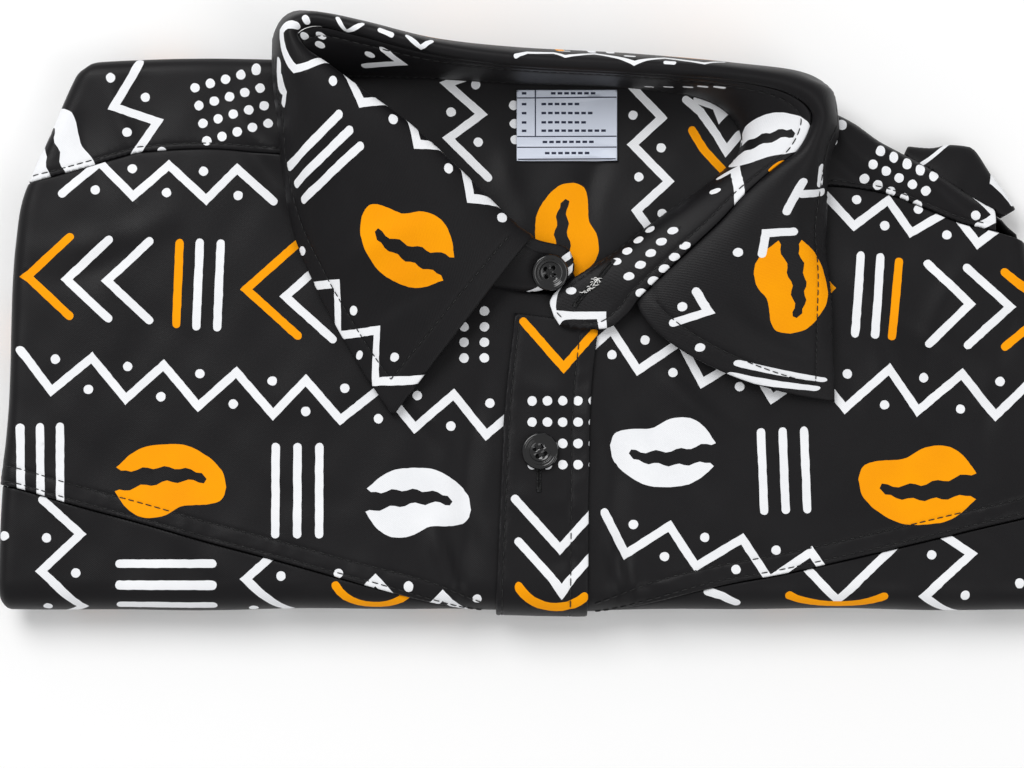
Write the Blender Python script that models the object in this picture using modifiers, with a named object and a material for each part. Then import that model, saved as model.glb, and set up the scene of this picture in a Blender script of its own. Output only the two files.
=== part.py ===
# Men's printed cotton shirt, folded into a packet and lying on its back.
# Metres in the scene, millimetres in the tables. +Z is up, +Y runs to the shoulders,
# and +X is on the wearer's left. The underside rests at z = 0.

import math

import bpy
import numpy as np
from mathutils import Quaternion, Vector

for old in list(bpy.data.objects):
    bpy.data.objects.remove(old, do_unlink=True)

MM = 0.001

# Driving sizes in millimetres
GAP = 0.3                 # air left between pieces that touch
CLOTH = 1.2               # one built wall of shirting
COLLAR_CLOTH = 1.4        # stand and leaf, two plies with interlining
PACKET_HEIGHT = 20.0      # hidden layers, floor to top
SETTLE = 0.7              # how far the hidden layers lie under the panels
EDGE_ROUND = PACKET_HEIGHT / 6      # three folds stacked at the sides and top
FOLD_ROUND = 8.6          # one big turn of cloth at the bottom fold
GROOVE = 0.35             # how deep the grooves between stacked folds go, of the round
WRAP_END = math.radians(125)        # how far a panel turns round an edge
WRAP_ROWS_ROOM = 10.0     # least length of cloth for the rows kept for a turn
SEAM_HIDDEN = 1.2         # air at seams that the collar covers
SEAM_RISE = 0.7           # the chest seam's upper side lies on its seam allowance
SEAM_RISE_REACH = 9.0     # how far from the seam that rise is felt
PLACKET_CLEAR = (22, 42)  # the rise starts and is full this far from the middle
BUTTON_DIAMETER = 12.7
BUTTON_THICKNESS = 2.6
HOLE_RADIUS = 0.95        # thread holes of a button
HOLE_OFFSET = 1.35        # of each hole's centre, both ways
BUTTON_STEPS = 28
HOLE_STEPS = 10
LABEL_THICKNESS = 1.0
LABEL_LIFT = 1.4 * GAP    # the label's underside over the back's face
LEAF_SEAM = 4 * GAP       # room between the stand's top and the leaf
LEAF_LEAN, LEAF_LIFT = 0.3, 0.9     # the roll's first handle, along the stand and upward, of its size
FIRST_BOW = 0.6           # how much of a section's bow its first handle takes
LEAF_CROWN = 2.0          # the second handle's height over the seam and the fall
STAND_COLUMNS, STAND_ROWS = 66, 5
LEAF_COLUMNS = 58
LEAF_SHARES = (0, 0.07, 0.15, 0.25, 0.38, 0.52, 0.68, 0.84, 1.0)
SLEEVE_COLUMNS, SLEEVE_ROWS = 13, 9

SHIRT_BLACK = (0.0120, 0.0115, 0.0125, 1.0)
BUTTON_BLACK = (0.006, 0.006, 0.007, 1.0)
LABEL_WHITE = (0.66, 0.71, 0.82, 1.0)

# The packet's outline, seen from above
LEFT_SIDE = ("y x", [
    (-103, -186.0), (-67, -184.4), (-40, -182.8), (0, -181.4), (22, -180.0),
    (38, -178.2), (46, -175.6), (61, -169.0), (77, -161.8), (86, -157.0)])
RIGHT_SIDE = ("y x", [
    (-103, 184.0), (-67, 178.0), (-40, 173.5), (-15, 170.0), (14, 167.0),
    (26, 165.0), (36, 162.0), (60, 160.0)])
SHOULDER_LINE = ("x y", [
    (-160, 84.0), (-126, 85.8), (-92, 85.4), (-60, 84.2), (-10, 82.6), (30, 81.0),
    (60, 79.0), (80, 76.2), (92, 72.2), (101, 67.6), (110, 62.8), (117, 57.6),
    (128, 51.6), (137, 46.0), (150, 37.0), (162, 30.5), (186, 22.0)])
BOTTOM_FOLD = -102.4

# Seams on the flat cloth
CHEST_SEAM_RIGHT = ("x y", [
    (-204, -57.0), (-180, -62.0), (-163, -67.0), (-135, -74.6), (-114, -80.6),
    (-89, -87.2), (-67, -93.4), (-35, -102.0), (-14, -110.0), (14, -114.0)])
CHEST_SEAM_LEFT = ("x y", [
    (12, -110.5), (35, -102.0), (57, -96.2), (83, -91.4), (102, -87.2), (147, -76.6),
    (166, -72.2), (186, -67.4), (206, -63.0)])
FRONT_RIGHT_TOP = ("x y", [
    (-196, 41.0), (-173, 44.4), (-161, 47.7), (-149, 51.3), (-138, 54.0), (-115, 55.2),
    (-92, 53.4), (-74, 52.0), (-58, 43.5), (-36, 24.0), (-15, 9.0), (-4, 5.6), (14, 4.6)])
FRONT_LEFT_TOP = ("x y", [
    (10, 4.6), (14, 6.0), (25, 15.5), (36, 24.6), (53, 36.0), (64, 41.6), (76, 43.0),
    (98, 42.4), (108, 41.6), (119, 39.8), (131, 35.4), (146, 29.0), (153, 27.4),
    (160, 25.6), (170, 22.0), (186, 20.0)])
FRONT_MEETING = 11.8      # x where the two fronts meet under the placket
YOKE_RIGHT_INNER = -84.0
YOKE_LEFT_INNER = 76.0
YOKE_LEFT_OUTER = 157.0

# Placket edges on the flat cloth
PLACKET_LEFT = ("y x", [
    (-114, -15.6), (-100, -15.4), (-66, -14.1), (-32, -12.4), (-1, -9.0)])
PLACKET_RIGHT = ("y x", [
    (-114, 15.8), (-100, 16.0), (-42, 16.6), (-9, 19.4), (2, 21.0)])
PLACKET_TOP = ("x y", [(-10, -1.6), (4, -3.4), (22, -8.4)])

LOWER_RIGHT_INNER = -20.0           # where the lower panels end beside the placket
LOWER_LEFT_INNER = 21.0

# Broad swells and hollows of the packet's top: a soft mound or dip at each row
SWELLS = ("x y wide tall rise", [
    (0, 58, 52, 27, -3.8),        # hollow of the neck
    (-128, 20, 46, 40, 0.8),
    (-60, -52, 55, 34, 0.7),
    (62, -50, 50, 36, 0.8),
    (128, 8, 40, 44, 0.7),
    (-150, 66, 26, 20, -1.2),
    (130, 34, 30, 20, -1.0),
    (-150, -78, 40, 26, -0.8),
    (150, -74, 40, 30, -0.8)])

# The collar stand, section by section from the button tab round the neck
STAND = ("base_x base_y over_z lift_z top_x top_y top_z", [
    (10.6, 11.0, 2.6, 24.9, 11.2, 16.6, 25.4),      # tab, rounded end
    (7.2, 8.8, 2.6, 25.1, 8.6, 20.6, 26.4),
    (-4.0, 5.8, 1.5, 25.6, -2.4, 23.4, 28.6),
    (-15.5, 7.2, 1.5, 26.0, -11.4, 29.8, 31.6),
    (-36.0, 22.0, 1.2, 27.5, -27.4, 44.8, 36.0),
    (-58.0, 41.5, 1.2, 29.0, -45.0, 60.4, 39.4),
    (-76.0, 60.0, 1.2, 31.0, -62.6, 73.0, 41.0),
    (-81.5, 68.0, 1.2, 32.0, -73.0, 80.6, 42.0),
    (-82.5, 74.0, 1.2, 33.0, -80.0, 85.4, 42.5),      # the pinched corner at the shoulder
    (-79.0, 79.4, 1.2, 33.5, -83.0, 90.6, 43.0),
    (-69.0, 80.6, 1.2, 34.0, -76.5, 94.0, 43.5),
    (-57.0, 80.6, 1.2, 34.0, -62.0, 90.8, 44.6),
    (-36.0, 80.0, 1.2, 34.0, -36.0, 84.0, 45.5),
    (-8.0, 78.6, 1.2, 34.0, -8.0, 80.0, 46.0),
    (28.0, 77.2, 1.2, 34.0, 28.0, 78.0, 45.5),
    (54.0, 73.4, 1.2, 34.0, 60.0, 76.0, 44.0),
    (66.0, 66.5, 1.2, 34.0, 83.0, 71.8, 41.0),
    (69.6, 58.4, 1.2, 34.0, 92.0, 63.6, 38.0),
    (67.4, 51.4, 1.2, 34.5, 88.0, 53.4, 36.0),
    (60.8, 45.2, 1.2, 34.5, 79.0, 46.2, 35.6),
    (53.0, 39.2, 1.2, 34.0, 69.6, 38.0, 35.0),
    (44.5, 33.2, 1.2, 33.0, 61.0, 28.8, 34.0),
    (36.2, 27.2, 1.4, 31.5, 52.2, 20.6, 32.6),
    (26.0, 19.2, 1.8, 29.5, 42.4, 11.6, 30.4),
    (17.4, 13.8, 2.4, 27.6, 34.0, 3.4, 28.2),
    (9.8, 9.0, 3.0, 26.0, 29.6, -2.2, 26.6),
    (4.2, 4.4, 3.1, 25.2, 22.0, -7.4, 25.7),
    (2.9, 1.2, 3.2, 24.6, 12.0, -7.8, 25.4),
    (3.8, -2.2, 3.3, 24.0, 6.4, -6.4, 25.2)])       # buttonhole end over the placket

# The collar leaf, by the stand section it is sewn to: its outer edge and its roll
LEAF = ("stand edge_x edge_y edge_z roll fall_share fall_z bow", [
    (2.0, -50.8, -37.4, 24.3, 4.6, 0.40, 2.6, 0.0),      # right point
    (2.6, -55.6, -30.4, 24.3, 5.0, 0.40, 2.8, 0.0),
    (3.3, -61.0, -22.4, 24.3, 5.2, 0.40, 3.0, 0.0),
    (4.0, -67.0, -12.4, 24.3, 5.6, 0.40, 3.2, 0.0),
    (5.0, -77.0, 6.2, 24.4, 5.8, 0.42, 3.4, 0.0),
    (6.0, -84.8, 25.0, 24.5, 5.8, 0.45, 3.6, 0.0),
    (7.0, -88.6, 44.0, 24.8, 5.6, 0.50, 3.6, 0.0),
    (7.6, -90.6, 62.0, 25.2, 5.4, 0.60, 3.6, 0.0),
    (8.1, -92.0, 78.0, 25.8, 5.2, 0.70, 3.4, 0.0),
    (8.6, -92.6, 91.0, 21.0, 5.0, 0.80, 3.4, 0.0),
    (9.2, -89.6, 98.6, 15.0, 5.0, 0.85, 3.6, 0.0),
    (10.0, -79.0, 101.6, 11.0, 5.2, 0.88, 3.8, 0.0),
    (11.0, -60.0, 98.0, 9.6, 5.4, 0.90, 3.8, 0.0),
    (12.0, -37.0, 92.6, 9.0, 5.4, 0.90, 3.8, 0.0),
    (13.0, -8.0, 89.8, 8.0, 5.6, 0.90, 3.8, 0.0),
    (14.0, 30.0, 87.8, 8.0, 5.6, 0.90, 3.8, 0.0),
    (15.0, 66.0, 84.4, 8.5, 5.4, 0.90, 3.6, 0.0),
    (15.8, 91.0, 81.4, 12.0, 5.0, 0.88, 3.2, 0.0),
    (16.4, 101.6, 74.6, 20.0, 4.4, 0.80, 2.8, 0.0),
    (17.0, 101.8, 64.0, 25.4, 3.8, 0.66, 2.4, 0.0),
    (17.6, 99.2, 53.0, 25.8, 3.4, 0.55, 2.4, 0.0),
    (18.4, 98.2, 40.0, 25.6, 3.4, 0.50, 2.4, 0.0),
    (19.3, 98.2, 27.0, 25.2, 3.4, 0.48, 2.2, 0.0),
    (20.3, 98.8, 12.0, 24.8, 3.4, 0.46, 2.0, 1.2),
    (21.3, 99.6, -3.0, 24.6, 3.2, 0.45, 1.8, 3.4),
    (22.3, 100.2, -16.0, 24.5, 2.8, 0.44, 1.6, 7.0),
    (23.3, 100.5, -25.0, 24.4, 2.4, 0.42, 1.4, 11.4),
    (24.3, 100.6, -32.4, 24.4, 2.0, 0.40, 1.2, 15.6)])     # left point

# The sleeve's fold behind the left shoulder: where it leaves the edge and how far it reaches
SLEEVE = ("edge_x edge_y out_x out_y low high", [
    (126.6, 54.0, 128.0, 57.4, 7.4, 12.4),
    (131.6, 50.8, 136.0, 56.8, 6.8, 13.0),
    (137.6, 46.8, 143.0, 58.0, 6.2, 13.6),
    (143.6, 42.8, 149.6, 57.4, 6.0, 13.8),
    (149.6, 38.8, 156.6, 48.0, 6.2, 13.6),
    (155.6, 35.6, 161.6, 41.4, 6.6, 13.2),
    (160.6, 32.8, 165.2, 35.4, 7.2, 12.6)])

FRONT_BUTTON = (-0.4, -49.4)
COLLAR_BUTTON = (1.5, 0.60)          # stand section and share of its height
FRONT_BUTTON_TURN, COLLAR_BUTTON_TURN = 20, 8       # degrees
LABEL_X = (-8.4, 26.4)
LABEL_Y = (51.4, 76.1)

# Half section of a button as shares of its radius and thickness, from the dish round the rim
BUTTON_PROFILE = [(0, 0.52), (0.58, 0.52), (0.66, 0.82), (0.82, 1), (0.94, 0.9), (1, 0.62),
                  (0.96, 0.3), (0.74, 0), (0, 0)]


def rows_of(table):
    """A table as a list of rows, each a dictionary by its named columns."""
    names = table[0].split()
    return [dict(zip(names, row)) for row in table[1]]


def smooth_line(knots, values):
    """A smooth line through knots that never swings past them."""
    knots = np.asarray(knots, float)
    values = np.asarray(values, float)
    steps = np.diff(values) / np.diff(knots)
    slopes = np.gradient(values, knots)
    for i in range(1, len(knots) - 1):
        before, after = steps[i - 1], steps[i]
        if before * after <= 0:
            slopes[i] = 0.0
        else:
            limit = 2.0 * min(abs(before), abs(after))
            slopes[i] = math.copysign(min(abs(slopes[i]), limit), before)

    def value(at):
        at = np.clip(np.asarray(at, float), knots[0], knots[-1])
        i = np.clip(np.searchsorted(knots, at, side="right") - 1, 0, len(knots) - 2)
        width = knots[i + 1] - knots[i]
        t = (at - knots[i]) / width
        return ((2 * t**3 - 3 * t**2 + 1) * values[i] + (t**3 - 2 * t**2 + t) * width * slopes[i]
                + (3 * t**2 - 2 * t**3) * values[i + 1] + (t**3 - t**2) * width * slopes[i + 1])
    return value


def table_line(table):
    """The smooth line of a two-column table."""
    knots, values = zip(*table[1])
    return smooth_line(knots, values)


left_side = table_line(LEFT_SIDE)
right_side = table_line(RIGHT_SIDE)
shoulder_line = table_line(SHOULDER_LINE)
swells = rows_of(SWELLS)


def packet_top(x, y):
    """Height of the folded layers at a place, with their broad swells."""
    height = np.full(np.shape(x), PACKET_HEIGHT)
    for swell in swells:
        far = ((x - swell["x"]) / swell["wide"]) ** 2 + ((y - swell["y"]) / swell["tall"]) ** 2
        height = height + swell["rise"] * np.exp(-far)
    return height


def turn_at(x, y):
    """Where flat cloth meets the packet's edges: its shoulder point, direction and turn."""
    left, right = left_side(y) + EDGE_ROUND, right_side(y) - EDGE_ROUND
    low, high = BOTTOM_FOLD + FOLD_ROUND, shoulder_line(x) - EDGE_ROUND
    over_x = (np.minimum(x - left, 0) + np.maximum(x - right, 0)) / EDGE_ROUND
    over_y = np.minimum(y - low, 0) / FOLD_ROUND + np.maximum(y - high, 0) / EDGE_ROUND
    turn = np.maximum(abs(over_x), abs(over_y))
    length = np.hypot(over_x, over_y) + 1e-9
    return (np.clip(x, left, right), np.minimum(np.maximum(y, low), high),
            over_x / length, over_y / length, turn)


def round_of(way_y):
    """The radii of an edge in plan, across and along, and its height, by its direction."""
    along = np.where(way_y < 0, FOLD_ROUND, EDGE_ROUND)
    return along, EDGE_ROUND + (along - EDGE_ROUND) * way_y**2


def lay(x, y, out):
    """Flat cloth laid on the packet and turned round its edges, moved out from the layers."""
    x, y, out = np.broadcast_arrays(*(np.asarray(v, float) for v in (x, y, out)))
    at_x, at_y, way_x, way_y, turn = turn_at(x, y)
    along, drop = round_of(way_y)
    px = at_x + way_x * (EDGE_ROUND + out) * np.sin(turn)
    py = at_y + way_y * (along + out) * np.sin(turn)
    pz = packet_top(at_x, at_y) - drop * (1 - np.cos(turn)) + out * np.cos(turn)
    return np.stack([px, py, pz], axis=-1)


def place(count, start, end, near, far, near_count, far_count):
    """Marks from start to end, some kept for the turned stretches before near and after far."""
    middle = count - near_count - far_count
    marks = []
    for k in range(count):
        if k < near_count:
            marks.append(start + (near - start) * k / near_count)
        elif k >= near_count + middle:
            marks.append(far + (end - far) * (k - near_count - middle + 1) / far_count)
        else:
            marks.append(near + (far - near) * (k - near_count) / (middle - 1))
    return marks


def flat_grid(columns, rows, x_ends, y_ends, turned=(0, 0, 0, 0)):
    """Flat points between two side lines and two end lines. turned gives the marks kept for
    the left, right, bottom and top edges of the packet, where the cloth turns."""
    x = np.zeros((columns, rows))
    y = np.zeros((columns, rows))
    reach = WRAP_END * EDGE_ROUND
    for _ in range(4):
        left = left_side(y) + EDGE_ROUND if turned[0] else x_ends[0](y)
        right = right_side(y) - EDGE_ROUND if turned[1] else x_ends[1](y)
        start = left - reach if turned[0] else left
        end = right + reach if turned[1] else right
        marks = place(columns, start, end, left, right, turned[0], turned[1])
        x = np.stack([marks[i][i] for i in range(columns)])
        shoulder = BOTTOM_FOLD + FOLD_ROUND
        if turned[2] and y_ends[0]:
            bottom = y_ends[0](x)
            low = np.maximum(shoulder, bottom + WRAP_ROWS_ROOM)
        elif turned[2]:
            low = shoulder + 0 * x
            bottom = low - WRAP_END * FOLD_ROUND
        else:
            low = bottom = y_ends[0](x)
        if turned[3]:
            high = shoulder_line(x) - EDGE_ROUND
            top = high + reach
        else:
            high = top = y_ends[1](x)
        if turned[2]:
            low = np.minimum(low, bottom + (top - bottom) * turned[2] / (rows - 1))
        marks = place(rows, bottom, top, low, high, turned[2], turned[3])
        y = np.stack([marks[j][:, j] for j in range(rows)], axis=1)
    return x, y


def add_material(name, colour, roughness):
    material = bpy.data.materials.new(name)
    material.use_nodes = True
    shader = material.node_tree.nodes["Principled BSDF"]
    shader.inputs["Base Color"].default_value = colour
    shader.inputs["Roughness"].default_value = roughness
    shader.inputs["Metallic"].default_value = 0.0
    return material


shirt = bpy.data.collections.new("african_print_shirt")
cutters = bpy.data.collections.new("cutters")
bpy.context.scene.collection.children.link(shirt)
bpy.context.scene.collection.children.link(cutters)


def add_object(name, points, faces, collection=shirt):
    mesh = bpy.data.meshes.new(name)
    mesh.from_pydata([tuple(float(v) * MM for v in p) for p in points], [], faces)
    mesh.update()
    mesh.shade_smooth()
    made = bpy.data.objects.new(name, mesh)
    collection.objects.link(made)
    return made


def grid_faces(columns, rows):
    """Quads over a grid whose points run row by row inside each column."""
    return [(i * rows + j, (i + 1) * rows + j, (i + 1) * rows + j + 1, i * rows + j + 1)
            for i in range(columns - 1) for j in range(rows - 1)]


def add_wall(name, surface, thickness, side, colour=SHIRT_BLACK, roughness=0.6):
    """A cloth wall: a surface of points with Solidify. side 1 grows it out, 0 both ways."""
    columns, rows = surface.shape[:2]
    wall = add_object(name, surface.reshape(-1, 3), grid_faces(columns, rows))
    solidify = wall.modifiers.new("cloth thickness", "SOLIDIFY")
    solidify.thickness = thickness * MM
    solidify.offset = side
    wall.data.materials.append(add_material(name, colour, roughness))
    return wall


def add_panel(name, flat, rise=None, lift=GAP, **look):
    """A panel of one ply laid on the packet."""
    x, y = flat
    out = lift + (rise(x, y) if rise else 0.0)
    return add_wall(name, lay(x, y, out), CLOTH, 1, **look)


def constant(value):
    return lambda at: value + 0 * at


def add_folded_layers():
    """The hidden layers: a top that follows the panels, then stacked folds down to the floor."""
    columns, rows = 25, 17
    turned = 2                # marks kept for each turned edge
    top_turn = math.radians(60)
    top_angles = (90, 115, 138)
    fold_angles = ((20, 60, 90, 120, 160), (20, 60, 90, 130))
    x = np.zeros((columns, rows))
    y = np.zeros((columns, rows))
    for _ in range(4):
        left, right = left_side(y) + EDGE_ROUND, right_side(y) - EDGE_ROUND
        marks = place(columns, left - top_turn * EDGE_ROUND, right + top_turn * EDGE_ROUND,
                      left, right, turned, turned)
        x = np.stack([marks[i][i] for i in range(columns)])
        low, high = BOTTOM_FOLD + FOLD_ROUND + 0 * x, shoulder_line(x) - EDGE_ROUND
        marks = place(rows, low - top_turn * FOLD_ROUND, high + top_turn * EDGE_ROUND,
                      low, high, turned, turned)
        y = np.stack([marks[j][:, j] for j in range(rows)], axis=1)
    points = list(lay(x, y, -SETTLE).reshape(-1, 3))
    faces = grid_faces(columns, rows)
    rim = ([(i, 0) for i in range(columns)] + [(columns - 1, j) for j in range(1, rows)]
           + [(i, rows - 1) for i in range(columns - 2, -1, -1)]
           + [(0, j) for j in range(rows - 2, 0, -1)])
    ring = [i * rows + j for i, j in rim]
    edge_x = np.array([x[i, j] for i, j in rim])
    edge_y = np.array([y[i, j] for i, j in rim])
    at_x, at_y, way_x, way_y, turn = turn_at(edge_x, edge_y)
    along, drop = round_of(way_y)
    top = packet_top(at_x, at_y) - SETTLE
    lower = (top - 2 * (drop - SETTLE)) / 4

    def add_ring(reach_x, reach_y, z):
        nonlocal ring
        start = len(points)
        for i in range(len(ring)):
            points.append((at_x[i] + way_x[i] * reach_x[i], at_y[i] + way_y[i] * reach_y[i], z[i]))
        new = list(range(start, start + len(ring)))
        for i in range(len(ring)):
            after = (i + 1) % len(ring)
            faces.append((ring[after], ring[i], new[i], new[after]))
        ring = new

    for angle in top_angles:
        bend = math.radians(angle)
        add_ring((EDGE_ROUND - SETTLE) * math.sin(bend) + 0 * at_x,
                 (along - SETTLE) * math.sin(bend),
                 top - (drop - SETTLE) * (1 - math.cos(bend)))
    depth = GROOVE * lower / EDGE_ROUND
    for fold, angles in enumerate(fold_angles):
        for angle in angles:
            bend = math.radians(angle)
            share = 1 - depth * (1 - math.sin(bend))
            z = lower * 2 * (2 - fold) - lower * (1 - math.cos(bend))
            add_ring(EDGE_ROUND * share, along * share, z)
    share = 1 - depth / 2
    add_ring(EDGE_ROUND * share, along * share, 0 * at_x)
    faces.append(tuple(reversed(ring)))
    layers = add_object("folded_layers", points, faces)
    layers.data.materials.append(add_material("folded_layers", SHIRT_BLACK, 0.7))


def add_fronts():
    """Both fronts in two panels each: above the chest seam, and below it round the fold."""
    seam_right, seam_left = table_line(CHEST_SEAM_RIGHT), table_line(CHEST_SEAM_LEFT)
    top_right, top_left = table_line(FRONT_RIGHT_TOP), table_line(FRONT_LEFT_TOP)
    wrap_low = BOTTOM_FOLD + FOLD_ROUND - WRAP_END * FOLD_ROUND
    half = GAP / 2

    def above(seam):
        return lambda x: np.maximum(seam(x) + half, wrap_low)

    def rise_over(seam):
        """The upper panel lies a little higher along its seam, but flat under the placket."""
        start, full = PLACKET_CLEAR
        return lambda x, y: (SEAM_RISE * np.clip((abs(x) - start) / (full - start), 0, 1)
                             * np.exp(-((y - seam(x)) / SEAM_RISE_REACH) ** 2))

    columns, rows = 20, 17
    flat = flat_grid(columns, rows, (None, constant(FRONT_MEETING - half)),
                     (above(seam_right), top_right), (5, 0, 8, 0))
    add_panel("front_right", flat, rise_over(seam_right))
    flat = flat_grid(columns, rows, (constant(FRONT_MEETING + half), None),
                     (above(seam_left), top_left), (0, 5, 8, 0))
    add_panel("front_left", flat, rise_over(seam_left))

    columns, rows = 17, 12
    flat = flat_grid(columns, rows, (None, constant(LOWER_RIGHT_INNER)),
                     (None, lambda x: seam_right(x) - 3 * half), (5, 0, 8, 0))
    add_panel("front_right_lower", flat)
    flat = flat_grid(columns, rows, (constant(LOWER_LEFT_INNER), None),
                     (None, lambda x: seam_left(x) - 3 * half), (0, 5, 8, 0))
    add_panel("front_left_lower", flat)


def add_placket():
    """The button placket, one strip over the place where the fronts meet."""
    edge_left, edge_right = table_line(PLACKET_LEFT), table_line(PLACKET_RIGHT)
    columns, rows = 4, 20
    flat = flat_grid(columns, rows, (edge_left, edge_right), (None, table_line(PLACKET_TOP)), (0, 0, 8, 0))
    add_panel("placket", flat, lift=GAP + CLOTH + 2 * GAP)


def add_yokes():
    """The front yokes over the shoulders, round the shoulder fold, and the back seen inside."""
    top_right, top_left = table_line(FRONT_RIGHT_TOP), table_line(FRONT_LEFT_TOP)
    flat = flat_grid(13, 9, (None, constant(YOKE_RIGHT_INNER - GAP)),
                     (lambda x: top_right(x) + GAP, None), (5, 0, 0, 4))
    add_panel("yoke_right", flat)
    flat = flat_grid(12, 9, (constant(YOKE_LEFT_INNER + GAP), constant(YOKE_LEFT_OUTER)),
                     (lambda x: top_left(x) + 3 * GAP, None), (0, 0, 0, 4))
    add_panel("yoke_left", flat)

    def neckline(x):
        return np.where(x < FRONT_MEETING, top_right(x), top_left(x)) + SEAM_HIDDEN

    flat = flat_grid(20, 12, (constant(YOKE_RIGHT_INNER), constant(YOKE_LEFT_INNER)),
                     (neckline, None), (0, 0, 0, 4))
    add_panel("back_inside", flat)


def add_sleeve():
    """A fold of the sleeve that stands out behind the left shoulder."""
    sections = rows_of(SLEEVE)
    knots = np.arange(len(sections))
    lines = {name: smooth_line(knots, [s[name] for s in sections]) for name in sections[0]}
    points = []
    for t in np.linspace(0, len(sections) - 1, SLEEVE_COLUMNS):
        s = {name: float(line(t)) for name, line in lines.items()}
        middle, half = (s["low"] + s["high"]) / 2, (s["high"] - s["low"]) / 2
        points.append([(s["edge_x"] + (s["out_x"] - s["edge_x"]) * math.cos(a),
                        s["edge_y"] + (s["out_y"] - s["edge_y"]) * math.cos(a),
                        middle + half * math.sin(a))
                       for a in np.linspace(-math.pi / 2, math.pi / 2, SLEEVE_ROWS)])
    add_wall("sleeve_left", np.array(points), CLOTH, 0)


def stand_lines():
    sections = rows_of(STAND)
    knots = np.arange(len(sections))
    return {name: smooth_line(knots, [s[name] for s in sections]) for name in sections[0]}


def stand_ends(lines, t):
    """The foot, the pull and the top of the stand's section t, which bends between them."""
    s = {name: float(line(t)) for name, line in lines.items()}
    foot_z = float(lay(s["base_x"], s["base_y"], GAP + CLOTH)[2]) + s["over_z"]
    foot = np.array([s["base_x"], s["base_y"], foot_z])
    pull = np.array([s["base_x"], s["base_y"], max(s["lift_z"], foot_z)])
    top = np.array([s["top_x"], s["top_y"], s["top_z"]])
    return foot, pull, top


def stand_point(lines, t, s):
    foot, pull, top = stand_ends(lines, t)
    return (1 - s)**2 * foot + 2 * s * (1 - s) * pull + s**2 * top


def add_collar_stand():
    """The stand: a band from the tab round the neck, each section bent from foot to top."""
    lines = stand_lines()
    points = [[stand_point(lines, t, s) for s in np.linspace(0, 1, STAND_ROWS)]
              for t in np.linspace(0, len(STAND[1]) - 1, STAND_COLUMNS)]
    add_wall("collar_stand", np.array(points), COLLAR_CLOTH, 0, roughness=0.55)


def add_collar_leaf():
    """The leaf: from the stand's top over the roll to its outer edge and two points."""
    lines = stand_lines()
    sections = rows_of(LEAF)
    knots = np.arange(len(sections))
    leaf = {name: smooth_line(knots, [s[name] for s in sections]) for name in sections[0]}
    points = []
    for t in np.linspace(0, len(sections) - 1, LEAF_COLUMNS):
        s = {name: float(line(t)) for name, line in leaf.items()}
        foot, pull, top = stand_ends(lines, s["stand"])
        edge = np.array([s["edge_x"], s["edge_y"], s["edge_z"]])
        rising = top - pull
        rising /= np.linalg.norm(rising)
        start = top + rising * LEAF_SEAM
        start[2] += GAP
        first = start + rising * s["roll"] * LEAF_LEAN
        first[2] += s["roll"] * LEAF_LIFT
        second = start + (edge - start) * s["fall_share"]
        second[2] = start[2] + s["fall_z"] + LEAF_CROWN
        first[1] -= s["bow"] * FIRST_BOW
        second[1] -= s["bow"]
        points.append([(1 - u)**3 * start + 3 * u * (1 - u)**2 * first
                       + 3 * u**2 * (1 - u) * second + u**3 * edge
                       for u in LEAF_SHARES])
    add_wall("collar_leaf", np.array(points), COLLAR_CLOTH, 0, roughness=0.55)


def add_button(name, place_at, up, turned):
    """A four-hole button: a turned profile with a dished face, its holes cut through."""
    radius, thick = BUTTON_DIAMETER / 2, BUTTON_THICKNESS
    mesh = bpy.data.meshes.new(name)
    mesh.from_pydata([(x * radius * MM, 0, z * thick * MM) for x, z in BUTTON_PROFILE],
                     [(i, i + 1) for i in range(len(BUTTON_PROFILE) - 1)], [])
    button = bpy.data.objects.new(name, mesh)
    shirt.objects.link(button)
    screw = button.modifiers.new("turned", "SCREW")
    screw.steps = screw.render_steps = BUTTON_STEPS
    screw.use_merge_vertices = True
    screw.merge_threshold = 0.01 * MM
    holes = []
    for x, y in ((1, 1), (-1, 1), (-1, -1), (1, -1)):
        bpy.ops.mesh.primitive_cylinder_add(
            vertices=HOLE_STEPS, radius=HOLE_RADIUS * MM, depth=3 * thick * MM,
            location=(HOLE_OFFSET * x * MM, HOLE_OFFSET * y * MM, 0))
        holes.append(bpy.context.object)
    cutter = holes[0]
    with bpy.context.temp_override(active_object=cutter, selected_editable_objects=holes):
        bpy.ops.object.join()
    cutter.name = name + "_holes"
    for old in list(cutter.users_collection):
        old.objects.unlink(cutter)
    cutters.objects.link(cutter)
    cutter.hide_render = True
    cutter.display_type = "WIRE"
    cut = button.modifiers.new("thread holes", "BOOLEAN")
    cut.operation = "DIFFERENCE"
    cut.object = cutter
    seat = bpy.data.objects.new(name + "_seat", None)
    shirt.objects.link(seat)
    seat.location = tuple(v * MM for v in place_at)
    facing = Vector((0, 0, 1)).rotation_difference(Vector([float(v) for v in up]))
    seat.rotation_euler = (facing @ Quaternion((0, 0, 1), math.radians(turned))).to_euler()
    button.parent = seat
    cutter.parent = seat
    mesh.materials.append(add_material(name, BUTTON_BLACK, 0.25))
    return button


def add_label():
    """The woven label, laid on the inside of the back below the neck seam."""
    flat = flat_grid(5, 5, (constant(LABEL_X[0]), constant(LABEL_X[1])),
                     (constant(LABEL_Y[0]), constant(LABEL_Y[1])))
    surface = lay(flat[0], flat[1], GAP + CLOTH + LABEL_LIFT)
    add_wall("care_label", surface, LABEL_THICKNESS, 1, LABEL_WHITE, 0.5)


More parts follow.
